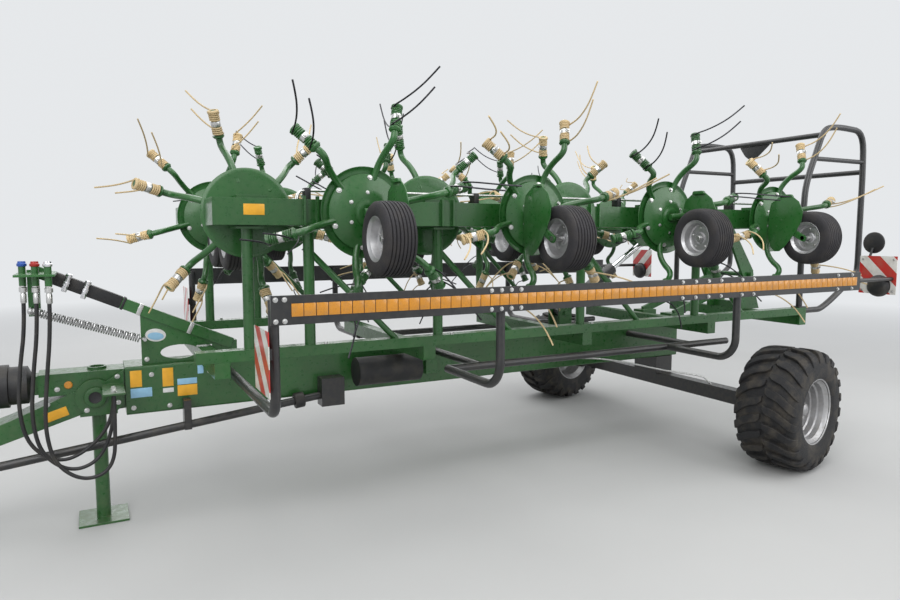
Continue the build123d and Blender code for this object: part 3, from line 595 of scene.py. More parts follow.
# %% [markdown]
# ## Hydraulic hoses
# Three hoses hang in a loop from their couplers on the holder and go back up under the
# shelf beside the drawbar. Each follows the same points as its solid, as one smooth
# spline, so that its weight seems to draw it down. A steel ferrule and a cap of its own
# colour belong to each coupler.

# %% Hang the hoses
COUPLERS = (
    # number, x, y, colour of its cap, real length
    (1, -2.76, -0.25, cap_blue, 1.52),
    (2, -2.70, -0.30, cap_red, 1.57),
    (3, -2.64, -0.35, chrome, 1.64),
)
HOSE_R = 0.010
HANG = (
    # offset from the coupler's x, sideways, height
    (0.0, 0.0, 1.39), (0.0, 0.0, 1.19), (-0.036, 0.004, 0.955), (-0.052, -0.008, 0.73),
    (-0.014, 0.005, 0.535), (0.12, -0.004, 0.43), (0.262, 0.006, 0.48),
)
HOSE_DIP = 0.045


def hose_route(index, x, y):
    """The same points as in the solid's route: the later hoses hang lower."""
    dip = HOSE_DIP * index
    route = [(x + dx, y + dy, z if z > 1.0 else z - dip) for dx, dy, z in HANG]
    return route + [(-2.365, y, 0.64), (-2.365, y, 0.80)]


def coupler(x, y, cap):
    """A turned quick coupler: a steel ferrule on the hose and a coloured cap on top."""
    steel = turned([(0, 1.300), (0.0125, 1.300), (0.0145, 1.306), (0.0145, 1.345),
                   (0.0125, 1.349), (0.0125, 1.356), (0.019, 1.358), (0.019, 1.380), (0.0155, 1.384),
                   (0.0155, 1.392), (0, 1.392)], steps=24)
    cover(steel, zinc)
    sleeve = turned([(0, 1.49), (0.021, 1.49), (0.023, 1.494), (0.023, 1.503),
                    (0.019, 1.506), (0.0175, 1.516), (0, 1.516)], steps=24)
    cover(sleeve, cap)
    return settle(joined([steel, sleeve]), Matrix.Translation((x, y, 0)))


for index, (number, x, y, cap, length) in enumerate(COUPLERS):
    data = bpy.data.curves.new("hose", "CURVE")
    data.dimensions = "3D"
    run_spline(data, hose_route(index, x, y), HOSE_R, 16, 4)
    hose = bpy.data.objects.new("hose", data)
    scene.collection.objects.link(hose)
    dress(f"hose_line_{number}", hose, hose_rubber, "hose_rubber", f"hose_{number}")
    fitting = dress(f"coupler_{number}", coupler(x, y, cap), None, "spring_steel")
print("hoses", len(COUPLERS))

# %% [markdown]
# ## Rotors
# A rotor is a dished plate with six curved arms. Near its end each arm carries a double
# coil spring, held by a clamp in the middle, and both ends of the wire run out as a long
# bent finger. One rotor of each hand is modelled in its own frame, with its axis upright
# and its fingers up, and then copied to all fourteen places with its colours changed.

# %% Bolts and washers
def hex_bolt(across=0.019, height=0.008, washer=0.014, thick=0.0018):
    """A hexagon head on a washer, both seated at height zero."""
    let_go()
    bpy.ops.mesh.primitive_cylinder_add(vertices=6, radius=across / 1.732, depth=height,
                                        location=(0, 0, thick + height / 2))
    head = settle(bpy.context.object)
    edit(head)
    pick_faces(head, lambda centre, normal: normal.z > 0.9)
    bpy.ops.mesh.inset(thickness=across * 0.08)
    bpy.ops.transform.translate(value=(0, 0, height * 0.12))
    done()
    let_go()
    bpy.ops.mesh.primitive_cylinder_add(vertices=14, radius=washer, depth=thick, location=(0, 0, thick / 2))
    ring = settle(bpy.context.object)
    return smooth(joined([head, ring]), 30)


pattern_bolt = cover(hex_bolt(), zinc)
patterns = [pattern_bolt]
HEAD_TURN = (0.3, 0.5, 0.8)


def bolts(places, material=None, scale=1.0):
    """One piece of bolts at (origin, axis) places."""
    copies = []
    for origin, axis in places:
        seat = frame_to(origin, axis, HEAD_TURN)
        copies.append(copied(pattern_bolt, seat @ Matrix.Scale(scale, 4)))
    piece = joined(copies)
    return cover(piece, material) if material else piece


def ring_of(radius, height, angles, lean=0.0, up=1.0):
    """Places on a circle about Z for bolts, which may lean outwards."""
    return [(Vector((radius * cos(a), radius * sin(a), height)), (cos(a) * lean, sin(a) * lean, up))
            for a in angles]


print("bolt faces", len(pattern_bolt.data.polygons))

# %% The rotor's plates and hub
def rotor_plates():
    """Outer dish, inner cone and hub, turned about the rotor's axis."""
    dish = turned([(0.055, -0.0078), (0.222, -0.0078), (0.236, -0.0062), (0.2448, 0.001),
                  (0.2448, 0.0035), (0.241, 0.0038), (0.232, -0.0018), (0.216, -0.0032), (0.055, -0.0032)],
                  steps=64, close=True)
    cone = turned([(0.058, 0.0425), (0.094, 0.042), (0.170, 0.019), (0.194, 0.0105),
                  (0.2035, 0.0095), (0.2048, 0.0125), (0.203, 0.0165), (0.196, 0.0185), (0.172, 0.0275),
                  (0.095, 0.0495), (0.058, 0.0495)], steps=64, close=True)
    hub = turned([(0.0272, -0.0078), (0.0595, -0.0078), (0.0595, 0.0478), (0.0742, 0.0492),
                 (0.0742, 0.0545), (0.0605, 0.0552), (0.0560, 0.0578), (0.0300, 0.0578), (0.0272, 0.0560)],
                 steps=40, close=True)
    return [dish, cone, hub]


ARM_PATH = ((0.170, 0.008), (0.232, 0.012), (0.318, 0.072), (0.380, 0.172), (0.440, 0.152), (0.508, 0.1275),
            (0.570, 0.105))
COIL_FROM, COIL_TO = 0.444, 0.565
COIL_BREAK = (0.490, 0.519)
FINGERS = (
    # start radius, start reach, tip radius, tip reach
    (0.452, 0.146, 0.640, 0.410),
    (0.558, 0.108, 0.744, 0.412),
)
TRAIL = 0.055
WIRE_R = 0.0050
COIL_R = 0.0262
COIL_PITCH = 2.15 * WIRE_R
FINGER_R = WIRE_R * 0.92
TURN_POINTS = 9
ARM_R, PAD_TOP = 0.0185, 0.0335

(arm_r0, arm_a0), (arm_r1, arm_a1) = ARM_PATH[-2:]
arm_slope = (arm_a1 - arm_a0) / (arm_r1 - arm_r0)
arm_along = Vector((1, 0, arm_slope)).normalized()
arm_across = Vector((-arm_along.z, 0, arm_along.x))


def on_arm(radius):
    """The point of the arm's last straight at a radius from the rotor's axis."""
    return Vector((radius, 0, arm_a0 + arm_slope * (radius - arm_r0)))


print("arm slope", round(arm_slope, 3))

# %% One wound arm
def coil(start, end, hand):
    """A close-wound coil round the arm between two radii."""
    first, last = on_arm(start), on_arm(end)
    turns = (last - first).length / COIL_PITCH
    count = int(turns * TURN_POINTS)
    points = []
    for k in range(count + 1):
        angle = hand * 2 * pi * k / TURN_POINTS
        centre = first.lerp(last, k / count)
        points.append(centre + COIL_R * (arm_across * cos(angle) + Vector((0, 1, 0)) * sin(angle)))
    return tube(points, WIRE_R, sides=8, steps=2)


def finger(start_r, start_a, tip_r, tip_a, hand):
    """A finger leaves the coil's side, bends away from the disc and trails at its tip."""
    side = hand * COIL_R
    root = Vector((start_r, side, start_a))
    tip = Vector((tip_r, -hand * TRAIL, tip_a))
    run = tip - root
    points = [root - arm_across * 0.012, root + arm_across * 0.030]
    points += [root + Vector((run.x * out, run.y * back, run.z * up))
               for out, back, up in ((0.14, 0.12, 0.34), (0.36, 0.40, 0.62), (0.66, 0.72, 0.84))]
    return tube(points + [tip], FINGER_R, sides=8, steps=4)


def wound_arm(hand):
    """The arm, its cap and lip, two coils, the clamp and two fingers, along +X."""
    arm = tube([(r, 0, a) for r, a in ARM_PATH], ARM_R, sides=14)
    place = frame_to(on_arm(COIL_FROM), arm_along, (0, 1, 0))
    reach = (on_arm(COIL_TO) - on_arm(COIL_FROM)).length
    cap = settle(turned([(0, reach - 0.006), (0.0280, reach - 0.006), (0.0318, reach - 0.002),
                 (0.0318, reach + 0.005), (0.0270, reach + 0.009), (0.0190, reach + 0.009),
                 (0.0170, reach + 0.002), (0, reach + 0.002)], steps=18), place)
    lip = settle(turned([(0.0175, -0.016), (0.024, -0.016), (0.0325, -0.007), (0.0325, 0.002),
                 (0.0175, 0.002)], steps=18, close=True), place)
    coils = [coil(COIL_FROM + 0.004, COIL_BREAK[0], hand),
             coil(COIL_BREAK[1], COIL_TO - 0.004, hand)]
    mid = reach * (sum(COIL_BREAK) / 2 - COIL_FROM) / (COIL_TO - COIL_FROM)
    band = settle(turned([(0.0175, mid - 0.014), (0.0270, mid - 0.014), (0.0270, mid + 0.014),
                  (0.0175, mid + 0.014)], steps=18, close=True, bevel=0.002), place)
    pad = settle(block((-0.013, 0.020, mid - 0.012), (0.013, PAD_TOP, mid + 0.012), 0.002), place)
    nut_seat = place @ frame_to((0, PAD_TOP, mid), (0, 1, 0))
    nut = copied(pattern_bolt, nut_seat @ Matrix.Scale(0.8, 4))
    fingers = [finger(*numbers, hand) for numbers in FINGERS]
    return {"green": [arm, lip], "coil": coils + [cap], "zinc": [band, pad, nut], "finger": fingers}


print("arm ready")

# %% Assemble one rotor of each hand
ROTOR_PARTS = {"green": green_round, "coil": cream_paint, "zinc": zinc, "finger": dark_steel}
ARM_PHASE = radians(15)
RIM_BOLTS_R, HUB_BOLTS_R = 0.187, 0.105
ON_CONE = {"lean": 0.28, "up": 0.96}


def rotor_pattern(hand):
    """One whole rotor: six arms round the plates, with their bolts."""
    pieces = []
    for part, members in wound_arm(hand).items():
        unit = cover(joined(members), ROTOR_PARTS[part])
        for k in range(6):
            turn = Matrix.Rotation(ARM_PHASE + k * pi / 3, 4, "Z")
            pieces.append(copied(unit, turn))
        bpy.data.objects.remove(unit)
    pieces.append(cover(joined(rotor_plates()), green_round))
    sixths = [k * pi / 3 for k in range(6)]
    rim_bolts = ring_of(RIM_BOLTS_R, 0.0222, [ARM_PHASE + a + radians(8) for a in sixths], **ON_CONE)
    hub_bolts = ring_of(HUB_BOLTS_R, 0.0462, [a + pi / 6 for a in sixths], **ON_CONE)
    pieces.append(bolts(rim_bolts))
    pieces.append(bolts(hub_bolts, scale=0.75))
    return smooth(joined(pieces), 40)


HANDS = (1, -1)  # the way the coils are wound
rotor_patterns = {hand: rotor_pattern(hand) for hand in HANDS}
patterns += list(rotor_patterns.values())
print("rotor faces", {hand: len(obj.data.polygons) for hand, obj in rotor_patterns.items()})

# %% Copy the rotors to their places
HUB_Z = 1.770
PITCH = 1.090
ROWS = (
    # row, first station, rotors, distance of the disc from the centreline, facing outwards
    ("outer", -1.130, 4, 0.900, 1),
    ("inner", -1.675, 3, 0.540, -1),
)
stations = []
for side_name, side in SIDES.items():
    for row, first, count, disc_y, outwards in ROWS:
        for k in range(count):
            stations.append((f"{side_name}_{row}_{k + 1}", first + k * PITCH, side * disc_y, side * outwards,
                             1 if k % 2 == 0 else -1, row))

for tail, x, disc_y, facing, hand, row in stations:
    hub = frame_to((x, disc_y, HUB_Z), (0, facing, 0))
    rotor = copied(rotor_patterns[hand], hub)
    cream = (hand < 0) == (row == "outer")
    for slot, material in enumerate(rotor.data.materials):
        if material == cream_paint and not cream:
            rotor.data.materials[slot] = green_round
        if material == dark_steel and cream:
            rotor.data.materials[slot] = cream_paint
    rotor_name = f"rotor_{tail}"
    dress(f"{rotor_name}_dressed", rotor, None, "green_paint", rotor_name, body=rotor_name)
print("rotors", len(stations))

# %% [markdown]
# ## Rotor wheels
# Each rotor has a small ribbed tyre beside it, on a pressed rim dished on both sides. The
# grooves run round the tread, so the whole tyre comes off the lathe, grooves and all. A
# tyre's tread is slightly crowned: its radius falls away towards the shoulders.

# %% Turn one small tyre and its rim
SMALL_R = 0.1890
GROOVES = (-0.057, -0.038, -0.019, 0.0, 0.019, 0.038, 0.057)


def mirrored(half):
    """A half outline, then the same points back on the other side."""
    return half + [(r, -h) for r, h in reversed(half)]


def ribbed_tyre():
    side = [(0.1075, -0.060), (0.112, -0.0735), (0.121, -0.0805), (0.134, -0.0822), (0.150, -0.0822),
            (0.165, -0.0800), (0.177, -0.0750), (0.1845, -0.0675)]
    tread = []
    for h in GROOVES:
        r = SMALL_R - 0.0035 * (h / 0.06) ** 2
        tread += [(r, h - 0.0036), (r - 0.0062, h - 0.0020), (r - 0.0062, h + 0.0020), (r, h + 0.0036)]
    outline = side + tread + [(r, -h) for r, h in reversed(side)]
    return turned(outline, steps=60, close=True)


def small_rim():
    half = [(0.0168, -0.034), (0.028, -0.034), (0.030, -0.026), (0.040, -0.022), (0.052, -0.0245),
            (0.078, -0.020), (0.087, -0.026), (0.092, -0.048), (0.0965, -0.062), (0.104, -0.067),
            (0.1125, -0.0755), (0.1165, -0.0735), (0.1135, -0.062), (0.106, -0.056)]
    rim = cover(turned(mirrored(half), steps=48, close=True), rim_silver)
    fifths = [k * 2 * pi / 5 for k in range(5)]
    places = ring_of(0.065, -0.0222, fifths, up=-1) + ring_of(0.065, 0.0222, fifths, up=1)
    return [rim, bolts(places, scale=0.62)]


small_tyre = cover(ribbed_tyre(), small_rubber)
small_pattern = smooth(joined([small_tyre] + small_rim()), 32)
patterns.append(small_pattern)
WHEEL_REACH, WHEEL_DROP = 0.335, 0.140
for tail, x, disc_y, facing, _, _ in stations:
    centre = (x, disc_y + facing * WHEEL_REACH, HUB_Z - WHEEL_DROP)
    wheel = copied(small_pattern, frame_to(centre, (1, 0, 0), (0, 0, 1)))
    wheel_name = f"small_wheel_{tail}"
    dress(f"{wheel_name}_dressed", wheel, None, "small_tyre", wheel_name, body=wheel_name)
print("small wheel faces", len(small_pattern.data.polygons))

# %% [markdown]
# ## Road wheels
# The wide flotation tyres have long lugs that sweep from the middle of the tread out over
# the shoulder. One lug starts as a flat grid whose points are laid on the tread, gets its
# depth from Solidify, and is then copied round both sides, half a step apart.

# %% Shape one lug
TYRE_R = 0.430
RIM_PROFILE = (
    # radius, height
    (0.0310, 0.100), (0.055, 0.100), (0.060, 0.086), (0.076, 0.080), (0.082, 0.066), (0.128, 0.060),
    (0.150, 0.040), (0.160, 0.038), (0.166, 0.076), (0.178, 0.083), (0.183, 0.118), (0.195, 0.125),
    (0.200, 0.158), (0.213, 0.168), (0.224, 0.1915), (0.2325, 0.1925), (0.2335, 0.186), (0.2230, 0.170),
    (0.2160, 0.150), (0.2060, 0.010), (0.2160, -0.150), (0.2230, -0.170), (0.2335, -0.186),
    (0.2325, -0.1925), (0.224, -0.1915), (0.210, -0.168), (0.197, -0.150), (0.1900, -0.020),
    (0.1600, 0.018), (0.128, 0.045), (0.0310, 0.045),
)
LUGS = 22
LUG_STATIONS = (
    # distance from the middle, radius of the lug's face, lead in degrees, width
    (0.006, 0.4285, 0.0, 0.040), (0.030, 0.4285, 2.2, 0.052), (0.060, 0.4282, 3.2, 0.058),
    (0.095, 0.4275, 4.8, 0.060), (0.130, 0.4255, 7.6, 0.062), (0.160, 0.4205, 10.6, 0.064),
    (0.185, 0.4105, 13.2, 0.066), (0.2015, 0.3930, 15.2, 0.066), (0.2078, 0.3680, 16.6, 0.062),
    (0.2090, 0.3440, 17.4, 0.050),
)


def tread_lug(side):
    """A curved lug on one side of the tread, about the wheel's own Z axis."""
    let_go()
    rows = len(LUG_STATIONS) - 1
    bpy.ops.mesh.primitive_grid_add(x_subdivisions=rows, y_subdivisions=3, size=2)
    obj = bpy.context.object
    for vertex in obj.data.vertices:
        height, radius, lead, width = LUG_STATIONS[round((vertex.co.x + 1) / 2 * rows)]
        angle = radians(lead) + vertex.co.y * width / 2 / TYRE_R
        vertex.co = (radius * cos(angle), radius * sin(angle), side * height)
    edit(obj)
    face_outwards()
    middle = obj.data.polygons[len(obj.data.polygons) // 2]
    if middle.normal.dot(Vector((middle.center.x, middle.center.y, 0))) < 0:
        obj.data.flip_normals()
    solid = obj.modifiers.new("depth", "SOLIDIFY")
    solid.thickness = 0.030
    solid.offset = -1
    only(obj)
    bpy.ops.object.modifier_apply(modifier=solid.name)
    return add_bevel(obj, 0.0032, 1, 40)


def road_wheel():
    """Carcass with lugs on both sides, dished rim, hub cap and nuts."""
    carcass = turned(mirrored([(0.2140, -0.165), (0.2210, -0.186), (0.2420, -0.2000),
                     (0.2650, -0.2045), (0.3100, -0.2060), (0.3500, -0.2040), (0.3750, -0.1960),
                     (0.3920, -0.178), (0.4010, -0.140), (0.4040, -0.070)]), steps=72, close=True)
    lugs = []
    for side in (-1, 1):
        lug = tread_lug(side)
        for k in range(LUGS):
            turn = 2 * pi * (k + (0.5 if side < 0 else 0)) / LUGS
            lugs.append(copied(lug, Matrix.Rotation(turn, 4, "Z")))
        bpy.data.objects.remove(lug)
    tyre = cover(joined([carcass] + lugs), tyre_rubber)
    rim = turned(RIM_PROFILE, steps=72, close=True)
    cap = turned([(0, 0.128), (0.026, 0.126), (0.040, 0.117), (0.0465, 0.102), (0.0465, 0.070),
                 (0, 0.070)], steps=32)
    for piece in (rim, cap):
        cover(piece, rim_silver)
    nuts = ring_of(0.104, 0.0628, [k * pi / 4 for k in range(8)])
    return smooth(joined([tyre, rim, cap, bolts(nuts, scale=1.25)]), 32)


road_pattern = road_wheel()
patterns.append(road_pattern)
PARKED = radians(12)
KNUCKLE_X, KNUCKLE_Y, HUB_REACH = 1.860, 0.980, 0.300
for side_name, side in SIDES.items():
    outward = Vector((-side * sin(PARKED), side * cos(PARKED), 0))
    centre = Vector((KNUCKLE_X, side * KNUCKLE_Y, TYRE_R)) + outward * HUB_REACH
    wheel = copied(road_pattern, frame_to(centre, outward, (0, 0, 1)))
    wheel_name = f"wheel_{side_name}"
    dress(f"{wheel_name}_dressed", wheel, None, "tyre_rubber", wheel_name, body=wheel_name)
print("road wheel faces", len(road_pattern.data.polygons))

# %% [markdown]
# ## Side guards
# The guard's amber band is made of short cells side by side, and the bar is bolted to its
# tubes in pairs. One cell is a thin block with rounded edges. It is copied along the bar,
# and all the cells of both sides become one piece that stands for the plain strips.

# %% Reflector cells and guard bolts
CELLS = 72
BAND_FRONT, BAND_REAR = -1.670, 2.420
BAND_Z, BAND_HALF = 1.320, 0.029
CELL_GAP, CELL_T = 0.0035, 0.0038
GUARD_FACE = 1.410
cell_pitch = (BAND_REAR - BAND_FRONT) / CELLS
cell = block((0, 0, -BAND_HALF), (cell_pitch - CELL_GAP, CELL_T, BAND_HALF), 0.0011)
cells = []
for side in SIDES.values():
    for k in range(CELLS):
        low_y = GUARD_FACE if side > 0 else -GUARD_FACE - CELL_T
        place = Matrix.Translation((BAND_FRONT + k * cell_pitch, low_y, BAND_Z))
        cells.append(copied(cell, place))
bpy.data.objects.remove(cell)
dress("reflector_cells", joined(cells), amber, "amber_strip", "reflector_strips")

BOLT_X = (-1.740, -1.700, -0.640, -0.580, -0.520, -0.460, 0.70, 0.81, 0.92, 1.03, 1.22, 1.33, 2.20, 2.36)
guard_places = [((x, side * GUARD_FACE, z), (0, side, 0))
                for side in SIDES.values() for x in BOLT_X for z in (1.272, 1.368)]
dress("guard_bolts", bolts(guard_places, scale=0.85), None, "spring_steel")
print("cells", 2 * CELLS, "bolts", len(guard_places))

# %% [markdown]
# ## Spring of the hose holder
# A long extension spring helps to lift the holder. Its close turns are one helix, and
# both ends run straight out to their pegs. The front peg has a steel ball.

# %% Wind the spring
SPRING_FRONT = Vector((-2.734, -0.150, 1.246))
SPRING_REAR = Vector((-2.190, -0.150, 1.055))


SPRING_R, SPRING_WIRE_R, SPRING_PITCH = 0.0225, 0.0043, 0.0128
WOUND = 0.9


def extension_spring(start, end):
    """A helix between two points whose ends run out along the axis."""
    run = end - start
    turns = int(run.length * WOUND / SPRING_PITCH)
    points = [(0, 0, 0), (0, 0, run.length * 0.03)]
    for k in range(turns * TURN_POINTS + 1):
        angle = 2 * pi * k / TURN_POINTS
        along = run.length * (0.05 + WOUND * k / (turns * TURN_POINTS))
        points.append((SPRING_R * cos(angle), SPRING_R * sin(angle), along))
    points += [(0, 0, run.length * 0.97), (0, 0, run.length)]
    basis = frame_to(start, run, (0, 1, 0))
    return tube([basis @ Vector(point) for point in points], SPRING_WIRE_R, sides=6, steps=2)


spring_coil = extension_spring(SPRING_FRONT, SPRING_REAR)
let_go()
ball_at = SPRING_FRONT + Vector((0, -0.004, 0))
bpy.ops.mesh.primitive_uv_sphere_add(segments=20, ring_count=12, radius=0.022, location=ball_at)
ball = settle(bpy.context.object)
PEG_ENDS_Y = (-0.121, -0.086)
pegs = []
for end, last_y in zip((SPRING_FRONT, SPRING_REAR), PEG_ENDS_Y):
    steps = (end.y - 0.012, end.y + 0.01, last_y)
    pegs.append(tube([(end.x, y, end.z) for y in steps], 0.010, sides=12))
spring = joined([spring_coil, ball] + pegs)
dress("holder_spring_dressed", spring, spring_steel, "spring_steel", "holder_spring")
print("spring ready")

# %% [markdown]
# ## Wheel brackets and deflector plates
# The hub of each rotor stands still on a stub, and a bracket on the stub carries the
# little wheel. A flat plate beside the wheel keeps the crop away from it. The plate is
# broad at the top and narrows below, so it starts as a flat outline that is filled, gets
# its thickness, and has its edges rounded.

# %% Shape one bracket of each hand
PLATE_AT = 0.104
PLATE_EDGE = (
    # reach from the disc, height from the hub
    (0.064, -0.150), (0.060, -0.060), (0.062, 0.050), (0.078, 0.112), (0.140, 0.156), (0.195, 0.164),
    (0.248, 0.156), (0.300, 0.118), (0.334, 0.050), (0.326, -0.020), (0.292, -0.088), (0.246, -0.150),
    (0.200, -0.206), (0.160, -0.238), (0.118, -0.240), (0.084, -0.206),
)
PLATE_BOLTS = ((0.120, 0.072), (0.125, 0.018), (0.166, -0.010), (0.128, -0.058))
LIP_EDGE = ((0.146, 0.150), (0.250, 0.150), (0.235, 0.172), (0.155, 0.172))
PLATE_T, LIP_T, STRUT_T = 0.006, 0.020, 0.014
STUB_TOP = 0.078


def flat_plate(edge, thickness, bevel=0.002):
    """A plate with the given outline in its own XY plane, its back at height zero."""
    let_go()
    bpy.ops.mesh.primitive_circle_add(vertices=len(edge), radius=1, fill_type="NGON")
    obj = bpy.context.object
    for vertex, (x, y) in zip(obj.data.vertices, edge):
        vertex.co = (x, y, 0)
    edit(obj)
    bpy.ops.mesh.extrude_region_move(TRANSFORM_OT_translate={"value": (0, 0, thickness)})
    face_outwards()
    return smooth(add_bevel(obj, bevel, 2, 50), 30)


def rounded(corners, radius, steps=4):
    """An outline with each corner cut to a short arc, for flat_plate."""
    points = []
    for k, corner in enumerate(corners):
        here = Vector(corner)
        for other, sign in ((Vector(corners[k - 1]), -1), (Vector(corners[(k + 1) % len(corners)]), 1)):
            towards = other - here
            cut = here + towards.normalized() * min(radius, towards.length * 0.45)
            if sign < 0:
                first = cut
            else:
                last = cut
        for step in range(steps + 1):
            t = step / steps
            points.append(tuple(first * (1 - t) ** 2 + here * 2 * t * (1 - t) + last * t * t))
    return points


def wheel_bracket(hand):
    """Stub, elbow, strut, axle and plate in the rotor's frame: Z leaves the disc, Y is up."""
    plate_x = hand * PLATE_AT
    stub = turned([(0, -0.020), (0.0245, -0.020), (0.0245, 0.086), (0.0215, 0.0915),
                  (0, 0.0915)], steps=28)
    elbow = tube([(-hand * 0.030, 0, STUB_TOP), (hand * 0.030, 0.004, 0.080),
                 (plate_x - hand * 0.014, 0.010, 0.079)], 0.021, sides=16)
    strut_run = Vector((0, -WHEEL_DROP, WHEEL_REACH - STUB_TOP))
    strut_end = strut_run.length + 0.026
    strut_edge = rounded([(-0.026, -0.014), (0.026, -0.014), (0.022, strut_end), (-0.022, strut_end)], 0.02)
    strut = flat_plate(strut_edge, STRUT_T, 0.002)
    along_x = Vector((1, 0, 0))
    down_strut = strut_run.normalized()
    strut_axes = axes(down_strut.cross(along_x), down_strut, along_x)
    low_x = plate_x - (STRUT_T if hand > 0 else 0)
    settle(strut, Matrix.Translation((low_x, 0, STUB_TOP)) @ strut_axes)
    axle = turned([(0, 0), (0.0150, 0), (0.0150, PLATE_AT + 0.030), (0.012, PLATE_AT + 0.034),
                  (0, PLATE_AT + 0.034)], steps=20)
    settle(axle, frame_to((plate_x, -WHEEL_DROP, WHEEL_REACH), (-hand, 0, 0), (0, 1, 0)))
    cover(axle, zinc)
    green = cover(joined([stub, elbow, strut]), green_paint)
    upright = axes((0, 0, 1), (0, 1, 0), (-1, 0, 0))
    face_x = plate_x + (PLATE_T if hand > 0 else 0)
    plate = flat_plate(PLATE_EDGE, PLATE_T, 0.0015)
    settle(plate, Matrix.Translation((face_x, 0, 0)) @ upright)
    lip_x = plate_x + (PLATE_T if hand > 0 else LIP_T - PLATE_T)
    lip = flat_plate(rounded(LIP_EDGE, 0.01), LIP_T, 0.0015)
    settle(lip, Matrix.Translation((lip_x, 0, 0)) @ upright)
    plates = cover(joined([plate, lip]), green_paint)
    plate_bolts = [((face_x, h, a), (hand, 0, 0)) for a, h in PLATE_BOLTS]
    nut = [((-hand * 0.030, -WHEEL_DROP, WHEEL_REACH), (-hand, 0, 0))]
    fixed = bolts(plate_bolts, green_round, 0.62)
    end = bolts(nut, zinc, 1.5)
    return smooth(joined([green, plates, axle, fixed, end]), 32)


bracket_patterns = {hand: wheel_bracket(hand) for hand in HANDS}
patterns += list(bracket_patterns.values())
brackets = []
for tail, x, disc_y, facing, hand, _ in stations:
    place = Matrix.Translation((x, disc_y, HUB_Z)) @ axes((1, 0, 0), (0, 0, 1), (0, facing, 0))
    brackets.append(copied(bracket_patterns[hand], place))
dress("wheel_forks_dressed", joined(brackets), None, "green_paint", "wheel_forks", body="carrier")
print("brackets", len(stations))

# %% [markdown]
# ## Rear guard
# Two high hoops keep people away from the folded rotors behind. Each is one bent tube with
# wide curves at the top, its front leg leans back, and cross tubes tie the two together.

# %% Bend the hoops
HOOP_Y = 0.685
HOOP_TUBE_R = 0.025
HOOP_FRONT_X, HOOP_BACK_X = 2.820, 3.600
HOOP_FOOT_Z, HOOP_BAR_Z = 1.045, 2.285
HOOP_OUTLINE = (
    # X and height of each control point, from the front foot round to the rear one
    (HOOP_FRONT_X, HOOP_FOOT_Z), (HOOP_FRONT_X, 1.50), (HOOP_FRONT_X, 1.88), (HOOP_FRONT_X + 0.015, 2.08),
    (HOOP_FRONT_X + 0.14, 2.36), (HOOP_FRONT_X + 0.215, 2.535), (HOOP_FRONT_X + 0.36, 2.560),
    (HOOP_FRONT_X + 0.52, 2.560), (HOOP_BACK_X - 0.02, 2.545), (HOOP_BACK_X, 2.20), (HOOP_BACK_X, 1.95),
    (HOOP_BACK_X, 1.55), (HOOP_BACK_X, 1.36), (HOOP_BACK_X - 0.02, 1.30), (3.13, 1.015), (3.00, 1.015),
    (2.86, 1.015),
)
CATCH_EDGE = ((-0.17, 0), (0.17, 0), (0.10, -0.10), (0.02, -0.15), (-0.06, -0.09))
hoop_pieces = []
for side in SIDES.values():
    y = side * HOOP_Y
    hoop_points = [(x, y, z) for x, z in HOOP_OUTLINE]
    hoop = tube(hoop_points, HOOP_TUBE_R, sides=16, steps=5)
    bar_points = [(x, y, HOOP_BAR_Z) for x in (HOOP_FRONT_X + 0.10, 3.2, HOOP_BACK_X)]
    bar = tube(bar_points, HOOP_TUBE_R - 0.006, sides=14)
    foot = block((HOOP_FRONT_X - 0.05, y - 0.04, HOOP_FOOT_Z),
                 (HOOP_FRONT_X + 0.04, y + 0.04, HOOP_FOOT_Z + 0.010), 0.002)
    hoop_pieces += [hoop, bar, foot]
for x, z in ((HOOP_FRONT_X + 0.225, 2.490), (HOOP_BACK_X, 2.200)):
    cross = [(x, y, z) for y in (-HOOP_Y, 0, HOOP_Y)]
    hoop_pieces.append(tube(cross, HOOP_TUBE_R - 0.003, sides=14))
catch = flat_plate(rounded(CATCH_EDGE, 0.03), 0.012)
hoop_pieces.append(settle(catch, frame_to((HOOP_FRONT_X + 0.23, 0, 2.480), (1, 0, 0), (0, 1, 0))))
dress("rear_guard_dressed", joined(hoop_pieces), black_round, "black_paint", "rear_guard")
print("hoops ready")

# %% [markdown]
# ## Drawbar and hose holder
# At the front the steel is busy: a black sleeve and steel clips on the holder, a hollow pin with a ring on
# the cheek whose mouth is a dark disc of painted shade, bolts along the beam and gusset, and blank stickers.
# The stickers keep their colours and places, with nothing printed on them.

# %% Dress the hose holder
HOLDER_FOOT_AT = Vector((-1.700, -0.070, 0.990))
HOLDER_HEAD_AT = Vector((-2.710, -0.070, 1.455))
holder_run = HOLDER_HEAD_AT - HOLDER_FOOT_AT


def on_holder(x):
    """The middle of the holder's arm at a given X."""
    return HOLDER_FOOT_AT + holder_run * ((x - HOLDER_FOOT_AT.x) / holder_run.x)


def along_holder(x0, x1, half_y, half_z, bevel=0.004):
    """A block round the arm between two places along it."""
    length = (on_holder(x1) - on_holder(x0)).length
    piece = block((-half_y, -half_z, 0), (half_y, half_z, length), bevel)
    return settle(piece, frame_to(on_holder(x0), on_holder(x1) - on_holder(x0), (0, 1, 0)))


